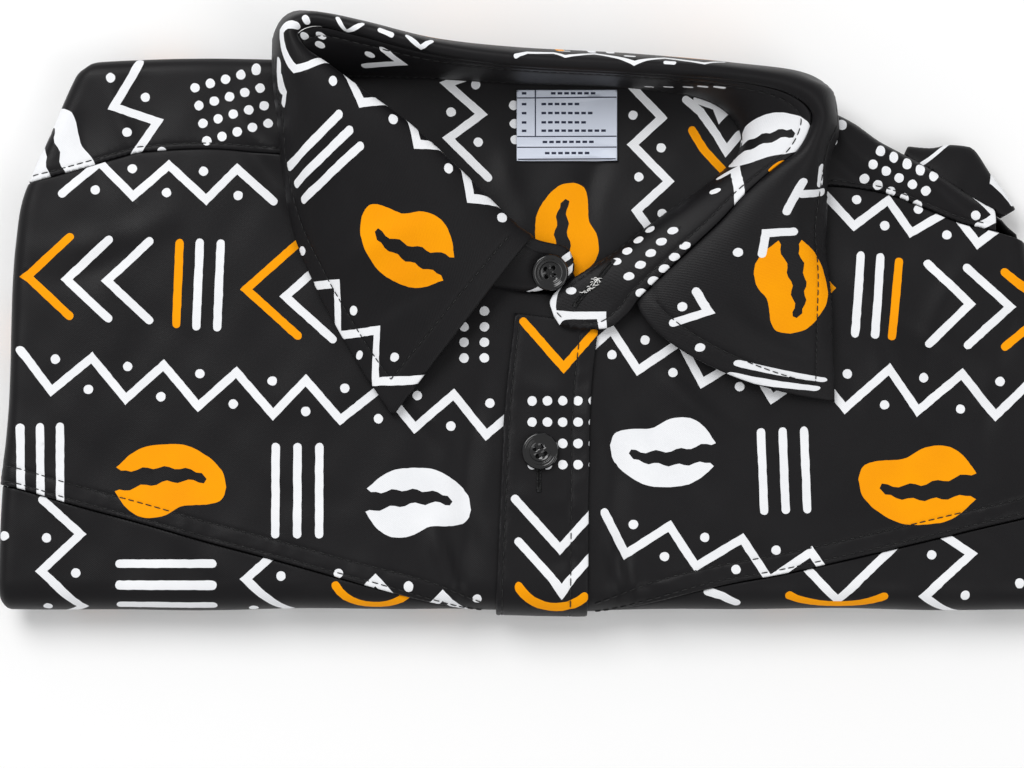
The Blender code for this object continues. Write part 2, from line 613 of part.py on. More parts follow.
def add_buttons():
    x, y = FRONT_BUTTON
    placket_face = GAP + CLOTH + 2 * GAP + CLOTH
    z = float(lay(x, y, placket_face)[2]) + GAP
    add_button("button_front", (x, y, z), (0, 0, 1), FRONT_BUTTON_TURN)
    lines = stand_lines()
    t, s = COLLAR_BUTTON
    at = stand_point(lines, t, s)
    near = 0.2
    along = stand_point(lines, t + near, s) - stand_point(lines, t - near, s)
    across = stand_point(lines, t, s + near) - stand_point(lines, t, s - near)
    up = np.cross(across, along)
    up *= math.copysign(1.0, up[2]) / np.linalg.norm(up)
    seat = at + up * (COLLAR_CLOTH / 2 + 3 * GAP)
    add_button("button_collar", seat, up, COLLAR_BUTTON_TURN)


add_folded_layers()
add_fronts()
add_placket()
add_yokes()
add_sleeve()
add_collar_stand()
add_collar_leaf()
add_label()
add_buttons()
bpy.context.view_layer.update()
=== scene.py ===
# %% [markdown]
# # A folded shirt of African print cotton
# The object is a men's shirt, folded into a packet and lying on its back. A real one is cut from
# printed cotton, sewn, pressed and folded round a flat hand. We load the solid model of it, then dress
# each solid in a thin cloth that follows the same lines, with its print, creases and stitches.

# %% Load the solid model
import math
import random

import bpy
import numpy as np
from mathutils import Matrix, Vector, geometry, noise


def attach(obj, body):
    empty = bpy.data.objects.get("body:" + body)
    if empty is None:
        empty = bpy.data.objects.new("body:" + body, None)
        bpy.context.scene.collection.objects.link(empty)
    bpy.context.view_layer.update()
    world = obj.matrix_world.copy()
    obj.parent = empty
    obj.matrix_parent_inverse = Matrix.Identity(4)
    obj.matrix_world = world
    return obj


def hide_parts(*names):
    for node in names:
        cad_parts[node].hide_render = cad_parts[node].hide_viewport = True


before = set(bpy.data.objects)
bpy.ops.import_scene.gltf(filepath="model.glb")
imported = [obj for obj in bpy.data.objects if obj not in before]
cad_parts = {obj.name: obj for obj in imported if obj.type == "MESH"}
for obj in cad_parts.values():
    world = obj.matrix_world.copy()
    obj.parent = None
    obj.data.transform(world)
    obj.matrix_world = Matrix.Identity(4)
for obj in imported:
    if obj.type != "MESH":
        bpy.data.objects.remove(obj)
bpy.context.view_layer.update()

MM = 0.001
PIECES = {}
print("solid model:", len(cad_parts), "nodes")

# %% [markdown]
# ## The outline of the packet
# A folded packet is nearly a box with rounded edges, so every panel can be described on flat cloth and
# then laid on the box. These tables are the same as the solid's: all in millimetres, seen from above.

# %% Sizes and outline tables
GAP = 0.3                 # air between pieces that touch
CLOTH = 1.2               # wall of one panel in the solid
PACKET_HEIGHT = 20.0
EDGE_ROUND = PACKET_HEIGHT / 6
FOLD_ROUND = 8.6
WRAP_END = math.radians(125)
WRAP_ROWS_ROOM = 10.0
SEAM_RISE = 0.7
BOTTOM_FOLD = -102.4
FRONT_MEETING = 11.8
YOKE_RIGHT_INNER, YOKE_LEFT_INNER, YOKE_LEFT_OUTER = -84.0, 76.0, 157.0

LEFT_SIDE = ("y x", [
    (-103, -186.0), (-67, -184.4), (-40, -182.8), (0, -181.4), (22, -180.0),
    (38, -178.2), (46, -175.6), (61, -169.0), (77, -161.8), (86, -157.0)])
RIGHT_SIDE = ("y x", [
    (-103, 184.0), (-67, 178.0), (-40, 173.5), (-15, 170.0), (14, 167.0),
    (26, 165.0), (36, 162.0), (60, 160.0)])
SHOULDER_LINE = ("x y", [
    (-160, 84.0), (-126, 85.8), (-92, 85.4), (-60, 84.2), (-10, 82.6), (30, 81.0),
    (60, 79.0), (80, 76.2), (92, 72.2), (101, 67.6), (110, 62.8), (117, 57.6),
    (128, 51.6), (137, 46.0), (150, 37.0), (162, 30.5), (186, 22.0)])
CHEST_SEAM_RIGHT = ("x y", [
    (-204, -57.0), (-180, -62.0), (-163, -67.0), (-135, -74.6), (-114, -80.6),
    (-89, -87.2), (-67, -93.4), (-35, -102.0), (-14, -110.0), (14, -114.0)])
CHEST_SEAM_LEFT = ("x y", [
    (12, -110.5), (35, -102.0), (57, -96.2), (83, -91.4), (102, -87.2), (147, -76.6),
    (166, -72.2), (186, -67.4), (206, -63.0)])
FRONT_RIGHT_TOP = ("x y", [
    (-196, 41.0), (-173, 44.4), (-161, 47.7), (-149, 51.3), (-138, 54.0), (-115, 55.2),
    (-92, 53.4), (-74, 52.0), (-58, 43.5), (-36, 24.0), (-15, 9.0), (-4, 5.6), (14, 4.6)])
FRONT_LEFT_TOP = ("x y", [
    (10, 4.6), (14, 6.0), (25, 15.5), (36, 24.6), (53, 36.0), (64, 41.6), (76, 43.0),
    (98, 42.4), (108, 41.6), (119, 39.8), (131, 35.4), (146, 29.0), (153, 27.4),
    (160, 25.6), (170, 22.0), (186, 20.0)])
PLACKET_LEFT = ("y x", [
    (-114, -15.6), (-100, -15.4), (-66, -14.1), (-32, -12.4), (-1, -9.0)])
PLACKET_RIGHT = ("y x", [
    (-114, 15.8), (-100, 16.0), (-42, 16.6), (-9, 19.4), (2, 21.0)])
PLACKET_TOP = ("x y", [(-10, -1.6), (4, -3.4), (22, -8.4)])
SWELLS = ("x y wide tall rise", [
    (0, 58, 52, 27, -3.8), (-128, 20, 46, 40, 0.8), (-60, -52, 55, 34, 0.7),
    (62, -50, 50, 36, 0.8), (128, 8, 40, 44, 0.7), (-150, 66, 26, 20, -1.2),
    (130, 34, 30, 20, -1.0), (-150, -78, 40, 26, -0.8), (150, -74, 40, 30, -0.8)])


# %% Smooth lines through the tables
def rows_of(table):
    """A table as a list of rows, each a dictionary by its named columns."""
    names = table[0].split()
    return [dict(zip(names, row)) for row in table[1]]


def smooth_line(knots, values):
    """A smooth line through knots that never swings past them."""
    knots, values = np.asarray(knots, float), np.asarray(values, float)
    steps = np.diff(values) / np.diff(knots)
    slopes = np.gradient(values, knots)
    for i in range(1, len(knots) - 1):
        before, after = steps[i - 1], steps[i]
        limit = 2.0 * min(abs(before), abs(after))
        turns_back = before * after <= 0
        slopes[i] = 0.0 if turns_back else math.copysign(min(abs(slopes[i]), limit), before)

    def value(at):
        at = np.clip(np.asarray(at, float), knots[0], knots[-1])
        i = np.clip(np.searchsorted(knots, at, side="right") - 1, 0, len(knots) - 2)
        width = knots[i + 1] - knots[i]
        t = (at - knots[i]) / width
        return ((2 * t**3 - 3 * t**2 + 1) * values[i] + (t**3 - 2 * t**2 + t) * width * slopes[i]
                + (3 * t**2 - 2 * t**3) * values[i + 1] + (t**3 - t**2) * width * slopes[i + 1])
    return value


def table_line(table):
    return smooth_line(*zip(*table[1]))


left_side, right_side = table_line(LEFT_SIDE), table_line(RIGHT_SIDE)
shoulder_line = table_line(SHOULDER_LINE)
print("packet:", round(float(right_side(-103) - left_side(-103))), "mm wide at the bottom fold")

# %% [markdown]
# ## Creases and the lay of the cloth
# Cotton keeps soft folds where it was handled. Each crease here is a line with a width and a height: a
# ridge when the height is above nought, a trough when below. Placing them one by one keeps them where they
# are on the real shirt, and a slow unevenness keeps the rest from looking pressed by a machine.

# %% Creases on the packet
CREASES = ("x1 y1 x2 y2 wide tall", [
    (-38, -70, -24, -104, 3.2, 0.9), (-30, -78, -21, -106, 2.2, -0.7),
    (30, -84, 38, -106, 2.6, 0.8), (24, -74, 30, -104, 2.0, -0.6),
    (-178, 20, -120, 34, 5.0, 0.5), (-172, 8, -140, 22, 4.0, -0.4),
    (-110, 70, -70, 44, 4.0, 0.6), (-104, 62, -78, 30, 3.6, -0.5),
    (-150, 78, -136, 50, 3.0, 0.5), (-160, 70, -150, 40, 3.4, -0.5),
    (-64, -2, -28, -46, 3.4, 0.6), (-58, -14, -34, -52, 2.8, -0.5),
    (-176, -30, -150, -80, 5.0, 0.5), (-140, -60, -90, -100, 5.0, 0.45),
    (-120, -20, -70, -34, 6.0, 0.35), (-100, -62, -60, -66, 5.0, -0.35),
    (40, -20, 70, -46, 3.6, 0.55), (34, -34, 58, -66, 3.0, -0.45),
    (108, -40, 96, -2, 4.0, -0.5), (118, -34, 106, 20, 4.0, 0.5),
    (150, 20, 128, -30, 4.6, 0.5), (166, 6, 150, -60, 5.0, -0.45),
    (100, 66, 124, 44, 2.6, 0.7), (96, 58, 120, 38, 2.4, -0.6),
    (130, 50, 152, 30, 2.6, 0.6), (104, 48, 140, 34, 3.4, -0.5),
    (60, -70, 120, -92, 5.0, 0.45), (130, -60, 172, -92, 5.4, -0.45),
    (-14, 60, 0, 20, 4.0, 0.5), (22, 58, 16, 24, 3.6, -0.5),
    (-21, -24, -22, -100, 4.4, -1.0), (24, -44, 31, -104, 5.0, -0.9), (17.5, -20, 24, -74, 3.4, 0.5),
    (100, -4, 160, -38, 5.0, -0.7), (108, 8, 168, -24, 5.0, 0.6), (-150, 30, -120, -16, 6.0, -0.4),
    (-8, -24, 12, -30, 3.4, 0.3), (-10, -62, 12, -68, 3.6, 0.35), (-6, -88, 14, -84, 3.0, -0.3)])
creases = rows_of(CREASES)
swells = rows_of(SWELLS)
uneven = random.Random(11)
WAVES = [(uneven.uniform(-1, 1), uneven.uniform(-1, 1), uneven.uniform(0, 6.3), uneven.uniform(14, 34))
         for _ in range(16)]
CREASE_STRENGTH = 1.8
UNEVEN_HEIGHT = 0.06
EDGE_WANDER = 0.28        # how far the packet's edges stray, in slow waves


def crease_height(x, y, table=None):
    """Ridges and troughs, soft across and fading towards both ends."""
    height = np.zeros(np.shape(x))
    for c in creases if table is None else table:
        along = np.array([c["x2"] - c["x1"], c["y2"] - c["y1"]])
        length = np.hypot(*along)
        along = along / length
        s = ((x - c["x1"]) * along[0] + (y - c["y1"]) * along[1]) / length
        bow = 0.06 * length * np.sin(np.clip(s, 0, 1) * math.pi)
        across = (x - c["x1"]) * along[1] - (y - c["y1"]) * along[0] - bow
        fade = np.exp(-((s - 0.5) / 0.42) ** 4)
        height = height + CREASE_STRENGTH * c["tall"] * fade * np.exp(-(across / c["wide"]) ** 2)
    return height


def slow_waves(x, y):
    height = np.zeros(np.shape(x))
    for dx, dy, start, long in WAVES:
        height = height + np.sin((x * dx + y * dy) * 2 * math.pi / long + start)
    return height * UNEVEN_HEIGHT


# %% Lay flat cloth on the packet
def packet_top(x, y):
    """Height of the folded layers at a place, with their broad swells and their creases."""
    height = np.full(np.shape(x), PACKET_HEIGHT)
    for swell in swells:
        far = ((x - swell["x"]) / swell["wide"]) ** 2 + ((y - swell["y"]) / swell["tall"]) ** 2
        height = height + swell["rise"] * np.exp(-far)
    return height + crease_height(x, y) + slow_waves(x, y)


def turn_at(x, y):
    """Where flat cloth meets the packet's edges: its shoulder point, direction and turn."""
    left, right = left_side(y) + EDGE_ROUND, right_side(y) - EDGE_ROUND
    low, high = BOTTOM_FOLD + FOLD_ROUND, shoulder_line(x) - EDGE_ROUND
    over_x = (np.minimum(x - left, 0) + np.maximum(x - right, 0)) / EDGE_ROUND
    over_y = np.minimum(y - low, 0) / FOLD_ROUND + np.maximum(y - high, 0) / EDGE_ROUND
    turn = np.maximum(abs(over_x), abs(over_y))
    length = np.hypot(over_x, over_y) + 1e-9
    return (np.clip(x, left, right), np.minimum(np.maximum(y, low), high),
            over_x / length, over_y / length, turn)


def round_of(way_y):
    """The radii of an edge, in plan along y and in height, by its direction."""
    along = np.where(way_y < 0, FOLD_ROUND, EDGE_ROUND)
    return along, EDGE_ROUND + (along - EDGE_ROUND) * way_y**2


def lay(x, y, out):
    """Flat cloth laid on the packet and turned round its edges, moved out from the layers."""
    x, y, out = np.broadcast_arrays(*(np.asarray(v, float) for v in (x, y, out)))
    at_x, at_y, way_x, way_y, turn = turn_at(x, y)
    along, drop = round_of(way_y)
    wander = np.sin(at_x * 0.043 + 1.0) + 0.7 * np.sin(at_x * 0.101 + at_y * 0.061) + np.sin(at_y * 0.083)
    wobble = EDGE_WANDER * wander * np.sin(np.minimum(turn, math.pi / 2))
    px = at_x + way_x * ((EDGE_ROUND + out) * np.sin(turn) + wobble)
    py = at_y + way_y * ((along + out) * np.sin(turn) + wobble)
    pz = packet_top(at_x, at_y) - drop * (1 - np.cos(turn)) + out * np.cos(turn)
    return np.stack([px, py, pz], axis=-1)


print("creases placed by hand:", len(creases))

# %% [markdown]
# ## The print as a chart
# The cloth is a traditional kind of print: bands of zigzags with dots, bars, arrowheads and cowrie
# shells, in white and orange on black. A maker charts it on the flat cloth, so we do too. Each line of a
# chart is a motif with its place in millimetres. A motif becomes a closed outline, with a slight waver
# in its edge as hand-cut screens and blocks have.

# %% Strokes and dots
STROKE = 2.85             # width of a printed line
DOT = 3.25                # width of a printed dot
WAVER = 0.08              # how far a printed edge strays


def wavered(outline, seed):
    """An outline with its points moved a little, the same way each run."""
    moved = []
    for x, y in outline:
        shift = noise.noise_vector(Vector((x * 0.8, y * 0.8, seed)))
        moved.append((x + WAVER * shift.x * 2, y + WAVER * shift.y * 2))
    return moved


def stroke(x1, y1, x2, y2, width=STROKE):
    """A bar with rounded ends."""
    way = math.atan2(y2 - y1, x2 - x1)
    half = width / 2
    steps = max(1, int(math.hypot(x2 - x1, y2 - y1) / 1.6))
    outline = []
    for (ax, ay), (bx, by), turn in (((x1, y1), (x2, y2), -math.pi / 2), ((x2, y2), (x1, y1), math.pi / 2)):
        for k in range(steps):
            share = k / steps
            outline.append((ax + (bx - ax) * share + half * math.cos(way + turn),
                            ay + (by - ay) * share + half * math.sin(way + turn)))
        for k in range(6):
            bend = way + turn + math.pi * k / 6
            outline.append((bx + half * math.cos(bend), by + half * math.sin(bend)))
    return wavered(outline, 1.0)


def ribbon(marks, width=STROKE):
    """A line of even width through marks, with sharp corners and rounded ends, as one outline."""
    marks = np.asarray(marks, float)
    way = np.diff(marks, axis=0)
    way /= np.linalg.norm(way, axis=1)[:, None]
    side = np.stack([-way[:, 1], way[:, 0]], axis=1)
    before, after = np.concatenate([side[:1], side]), np.concatenate([side, side[-1:]])
    mitre = (before + after) / (1 + (before * after).sum(axis=1))[:, None] * width / 2
    outline = []
    for line, middle in ((marks + mitre, marks[-1]), ((marks - mitre)[::-1], marks[0])):
        for a, b in zip(line[:-1], line[1:]):
            steps = max(1, int(np.hypot(*(b - a)) / 1.4))
            outline += [tuple(a + (b - a) * k / steps) for k in range(steps)]
        (dx, dy), turn = line[-1] - middle, -math.pi / 6       # the rounded end, clockwise
        for k in range(6):
            c, s = math.cos(turn * k), math.sin(turn * k)
            outline.append((middle[0] + dx * c - dy * s, middle[1] + dx * s + dy * c))
    return wavered(outline, 4.0)


def dot(x, y, width=DOT):
    return wavered([(x + width / 2 * math.cos(2 * math.pi * k / 16),
                     y + width / 2 * math.sin(2 * math.pi * k / 16)) for k in range(16)], 2.0)


# %% Motifs made of strokes and dots
def zigzag(x1, y1, x2, y2, corners, height, dots=1, width=STROKE):
    """A zigzag between two ends. Its first corner is to the right of the way it runs, or to the left
    when the height is below nought. dots is 1 for dots in the inner notches, 2 for all."""
    corners = int(corners)
    along = np.array([x2 - x1, y2 - y1])
    across = np.array([-along[1], along[0]]) / np.hypot(*along)
    marks = []
    for k in range(corners):
        side = -1 if k % 2 == 0 else 1
        stray = noise.noise(Vector((x1 + 3.1 * k, y1, 5.0)))
        marks.append(np.array([x1, y1]) + along * (k + 0.25 * stray) / (corners - 1)
                     + across * side * height / 2 * (1 + 0.15 * stray))
    shapes = [ribbon(marks, width)]
    for k in {0: range(0), 1: range(1, corners - 1), 2: range(corners)}[int(dots)]:
        side = 1 if k % 2 == 0 else -1
        middle = np.array([x1, y1]) + along * k / (corners - 1) + across * side * height * 0.36
        shapes.append(dot(*middle))
    return shapes


def bars(x, y, length, angle, count, spacing, width=STROKE):
    """Parallel bars, counted across, centred on a place."""
    turn = math.radians(angle)
    shapes = []
    for k in range(int(count)):
        shift = (k - (count - 1) / 2) * spacing
        mx, my = x - shift * math.sin(turn), y + shift * math.cos(turn)
        dx, dy = length / 2 * math.cos(turn), length / 2 * math.sin(turn)
        shapes.append(stroke(mx - dx, my - dy, mx + dx, my + dy, width))
    return shapes


def arrow(x, y, arm, angle, spread=46, width=STROKE):
    """An arrowhead: two arms from a point, opening towards an angle."""
    ends = [(x + arm * math.cos(math.radians(angle + side * spread)),
             y + arm * math.sin(math.radians(angle + side * spread))) for side in (-1, 1)]
    return [ribbon([ends[0], (x, y), ends[1]], width)]


def dots(x, y, columns, rows, across, down, angle=0, slant=0):
    """A block of dots from its first corner."""
    turn = math.radians(angle)
    shapes = []
    for i in range(int(columns)):
        for j in range(int(rows)):
            dx, dy = i * across + j * slant, -j * down
            shapes.append(dot(x + dx * math.cos(turn) - dy * math.sin(turn),
                              y + dx * math.sin(turn) + dy * math.cos(turn), 3.3))
    return shapes


def arc(x, y, radius, start, end, width=STROKE):
    """A curved line round a centre."""
    angles = np.radians(np.linspace(start, end, 13))
    return [ribbon([(x + radius * math.cos(a), y + radius * math.sin(a)) for a in angles], width)]


# %% The cowrie shell motif
# A cowrie is drawn as a bean with one flat flank, split by a toothed mouth that opens at one end.
SHELL_BACK = smooth_line([0, 0.12, 0.3, 0.55, 0.8, 0.92, 0.98, 1],
                         [0.10, 0.22, 0.31, 0.335, 0.25, 0.155, 0.065, -0.03])
SHELL_FLANK = smooth_line([0, 0.1, 0.3, 0.45, 0.62, 0.86, 0.95, 0.99, 1],
                          [-0.12, -0.25, -0.345, -0.32, -0.22, -0.19, -0.155, -0.09, -0.03])


def cowrie(x, y, length, angle):
    """A cowrie centred on a place, its mouth opening against the angle."""
    share = 0.5 - 0.5 * np.cos(np.linspace(0, math.pi, 42))
    outline = [(u, float(SHELL_FLANK(u))) for u in share]
    outline += [(u, float(SHELL_BACK(u))) for u in share[::-1][1:]]
    for u in np.linspace(0.04, 0.82, 17):
        lip = 0.05 + 0.07 * math.sin(u * 3.2) + 0.014 * math.sin(u * 32)
        outline.append((u, lip if u < 0.8 else 0.035))
    for u in np.linspace(0.80, 0.04, 17):
        lip = -0.125 + 0.135 * math.sin(u * 2.1) + 0.016 * math.sin(u * 29 + 1)
        outline.append((u, lip))
    turn = math.radians(angle)
    placed = [(x + length * ((u - 0.5) * math.cos(turn) - v * math.sin(turn)),
               y + length * ((u - 0.5) * math.sin(turn) + v * math.cos(turn))) for u, v in outline]
    return [wavered(placed, 3.0)]


MOTIFS = {"zigzag": zigzag, "bars": bars, "arrow": arrow, "dots": dots, "arc": arc, "cowrie": cowrie,
          "line": lambda *p: [ribbon(list(zip(p[::2], p[1::2])))],
          "thin": lambda *p: [ribbon(list(zip(p[::2], p[1::2])), 1.5)],
          "dot": lambda *p: [dot(*p[i:i + 2]) for i in range(0, len(p) - 1, 2)]}


def chart(text):
    """Reads a chart: colour, motif and its numbers on each line."""
    made = []
    for line in text.strip().splitlines():
        ink, motif, *numbers = line.split()
        made += [(ink, outline) for outline in MOTIFS[motif](*(float(v) for v in numbers))]
    return made


# %% Charts of the two fronts
# The print runs the other way up on the two fronts, as it does when both are cut from folded cloth.
FRONT_RIGHT_PRINT = """
white zigzag -166 45.5 -92 42.5 7 11
orange arrow -177 11 20 0 43
white arrow -163.5 10 20 0 43
white arrow -149.5 9.5 20 0 43
orange bars -125 8.5 28 88 1 7
white bars -114.5 8 29 88 2 7.2
orange arrow -101.5 6.5 24 0 42
white arrow -88 4 22 0 42
white zigzag -180 -20.9 -5.6 -38.6 15 -12.8
white bars -171.8 -53.5 25 91 3 6.8
orange cowrie -127 -59.5 38 -3
white bars -83.6 -62.8 30 90 3 7.5
white cowrie -42 -67 36 -4
white dots -26.5 -1 2 4 7 5.4
white line -90 -99 -81.4 -91.1 -72 -100
white line -65 -101 -56.7 -93.2 -48 -102
white line -42 -106 -33.7 -98.3 -25 -107
white dot -69.4 -91.2 -45.4 -95.4 -22 -99.6
"""
FRONT_RIGHT_LOWER_PRINT = """
white zigzag -164.5 -67 -164.5 -115 5 14
white dot -183.8 -78.3
white bars -128.5 -95 32 0 3 7.2
white zigzag -94 -79.5 -94 -117 4 -13.5
orange arc -57 -86.5 16 213 322
"""
FRONT_LEFT_PRINT = """
white zigzag 97.7 35.5 162 26 7 -10.5
white bars 112.5 4.5 27 85.5 2 6.8
orange bars 122 3.2 26 84 1 7
white arrow 147.6 1.4 20 180 44
white arrow 161.5 .5 20 180 42
orange arrow 175 -.4 20 180 40
orange line 94 13 99.6 7 94 1
white zigzag 23.4 -13 92 -27.5 7 -12.6
white line 17.6 -13.4 24 -7.6
white dot 24.4 -16.1
white zigzag 92 -27 170.6 -31 7 -14
white cowrie 41.6 -49.6 36 176
white bars 83.3 -56 27 92 3 7.4
orange cowrie 129 -61 40.5 178
white zigzag 18.6 -76.6 104 -92 8 -12.4
"""
FRONT_LEFT_LOWER_PRINT = """
white line 86 -84.5 101.6 -100.4 122 -81
white zigzag 139.6 -71.4 139.6 -111.6 4 16
orange arc 101.6 -66 36.5 243 296
white line 57 -97 62 -98.6 67 -101.4
white dot 163.9 -94.4
"""
PLACKET_PRINT = """
orange arrow 7.7 -20.6 21 90 41
white dots -3.1 -32.1 5 4 5.24 7.3
white arrow 6.4 -82.8 23 90 42
white arrow 7 -96.6 22 90 42
orange arc 5 -84 17 222 305
"""
YOKE_RIGHT_PRINT = """
white dots -119.7 76.6 5 4 5.5 6.3 16 -.35
white zigzag -144.4 81.5 -135.6 53 4 -13.2 2
white cowrie -166.5 52 36 97
"""
YOKE_LEFT_PRINT = """
white dots 111.8 45.1 5 5 5.1 -5.4 -26 .47
white dot 104.1 63.4 150 32.1
white line 90 55 101 57.8
white line 153.4 42.6 150.2 39.4 157.6 31.4 151 28.4
"""
BACK_PRINT = """
orange cowrie 9 27.5 33 86
white line -20 83 -32.5 78.2 -20.6 67.8 -32 59.4 -18.2 45.6
white dot -22.6 78 -31.1 68.5 -21.7 58.1
white line 29 80 41.9 66.4 31.8 57.1 44.2 44.2 33 33.9 38 27
white dot 31.9 67.4 41.6 55.9 33.9 45.8 41.8 32.9
white dot -9.4 70.9 -9.2 64.6 -8.9 59
orange line 52.3 62 56.1 55.6 63 47.8
white line 50.3 72.6 55.2 68.4 60.8 60.4 64 54.8 68.6 60.4
white line 54.1 72.6 60.7 70.2 62.1 66.6 68 72.6
white line 133 60 136 56
"""
SLEEVE_PRINT = "white line 9 17 15 12\nwhite line 30 6 36 14 46 8"
print("motif outlines on the fronts:", len(chart(FRONT_RIGHT_PRINT)) + len(chart(FRONT_LEFT_PRINT)))

# %% [markdown]
# ## Cutting cloth along the print
# A picture could be stretched over the cloth, but its edges blur up close. Here the flat cloth is cut
# into triangles along every printed edge instead, so each face is bare cotton or one ink, and the print
# is as sharp as the screen that laid it. Blender's constrained Delaunay function does the cutting. The
# flat triangles are then laid on the packet, twice: an outer face and an inner one, which meet in a
# rounded edge the way turned cloth does.

# %% Cut and lay a piece of cloth
EDGE_STEPS = (0.12, 0.35, 0.8)       # rows of points inside an edge, which round it
HALF_CLOTH = 0.42                    # half the thickness drawn: two plies at a turned edge


def signed_area(outline):
    x, y = np.asarray(outline).T
    return float(np.dot(x, np.roll(y, -1)) - np.dot(y, np.roll(x, -1))) / 2


def facing_up(outline):
    return outline if signed_area(outline) > 0 else outline[::-1]


def edge_distance(points, ring):
    """How far each point lies from a closed outline."""
    a = np.asarray(ring, float)
    b = np.roll(a, -1, axis=0)
    way = b - a
    long = (way**2).sum(axis=1) + 1e-12
    nearest = np.full(len(points), 1e9)
    for start in range(0, len(points), 2000):
        p = points[start:start + 2000, None, :]
        t = np.clip(((p - a) * way).sum(axis=2) / long, 0, 1)
        gap = p - (a + t[..., None] * way)
        nearest[start:start + 2000] = np.sqrt((gap**2).sum(axis=2)).min(axis=1)
    return nearest


def inset(ring, depth):
    """The outline moved inwards."""
    ring = np.asarray(ring, float)
    way = np.roll(ring, -1, axis=0) - np.roll(ring, 1, axis=0)
    way /= np.linalg.norm(way, axis=1)[:, None] + 1e-12
    return ring + depth * np.stack([-way[:, 1], way[:, 0]], axis=1)


def cut_flat(x, y, printed, extra=()):
    """Flat triangles over a grid of points, cut along printed outlines. Gives points, triangles
    and the ink of each triangle."""
    columns, rows = x.shape
    rim = ([(i, 0) for i in range(columns)] + [(columns - 1, j) for j in range(1, rows)]
           + [(i, rows - 1) for i in range(columns - 2, -1, -1)]
           + [(0, j) for j in range(rows - 2, 0, -1)])
    ring = facing_up([(float(x[i, j]), float(y[i, j])) for i, j in rim])
    points, faces, inks = list(ring), [list(range(len(ring)))], ["cloth"]
    inner = np.stack([x[1:-1, 1:-1].ravel(), y[1:-1, 1:-1].ravel()], axis=1)
    inner = inner[edge_distance(inner, ring) > EDGE_STEPS[-1] * 1.3]
    for depth in EDGE_STEPS:
        near = inset(ring, depth)
        points += [tuple(p) for p in near[edge_distance(near, ring) > depth * 0.8]]
    points += [tuple(p) for p in inner] + [tuple(p) for p in extra]
    low, high = np.min(ring, axis=0), np.max(ring, axis=0)
    for ink, outline in printed:
        corners = np.asarray(outline)
        if (corners.max(axis=0) < low).any() or (corners.min(axis=0) > high).any():
            continue
        faces.append(list(range(len(points), len(points) + len(outline))))
        points += facing_up(outline)
        inks.append(ink)
    made, _, cut, _, _, inside = geometry.delaunay_2d_cdt(
        [Vector(p) for p in points], [], faces, 1, 1e-5, True)
    flat = np.array([tuple(p) for p in made])
    triangles, colours = [], []
    for corners, ids in zip(cut, inside):
        if 0 in ids:
            triangles.append(tuple(corners))
            colours.append(inks[max(ids)])
    used = sorted({v for t in triangles for v in t})
    new = {old: k for k, old in enumerate(used)}
    return (flat[used], [tuple(new[v] for v in t) for t in triangles], colours, ring)


# %% [markdown]
# ## Materials of the cloth
# The ground is cotton sateen dyed black and calendered, which presses the yarns flat and gives a faint
# silky sheen along them. The white and orange are pigment inks printed on top: matter, a little thicker,
# and the twill of the yarns still shows through. The yarns are really about 0.2 mm apart, which is finer
# than a pixel here, so they are drawn at 0.55 mm, just coarse enough to show.

# %% Colours and nodes
def linear(hex_colour):
    """A colour as people write it, in the linear numbers that the shader wants."""
    parts = [int(hex_colour[i:i + 2], 16) / 255 for i in (1, 3, 5)]
    return tuple(c / 12.92 if c <= 0.04045 else ((c + 0.055) / 1.055) ** 2.4 for c in parts) + (1.0,)


def add_node(tree, kind, settings=None, inputs=None):
    """One node with its settings and the values or links of its inputs."""
    node = tree.nodes.new("ShaderNode" + kind)
    for key, value in (settings or {}).items():
        setattr(node, key, value)
    for key, value in (inputs or {}).items():
        if isinstance(value, bpy.types.NodeSocket):
            tree.links.new(value, node.inputs[key])
        else:
            node.inputs[key].default_value = value
    return node


YARN = 0.55 * MM
ANGLE_OF_TWILL = math.radians(38)


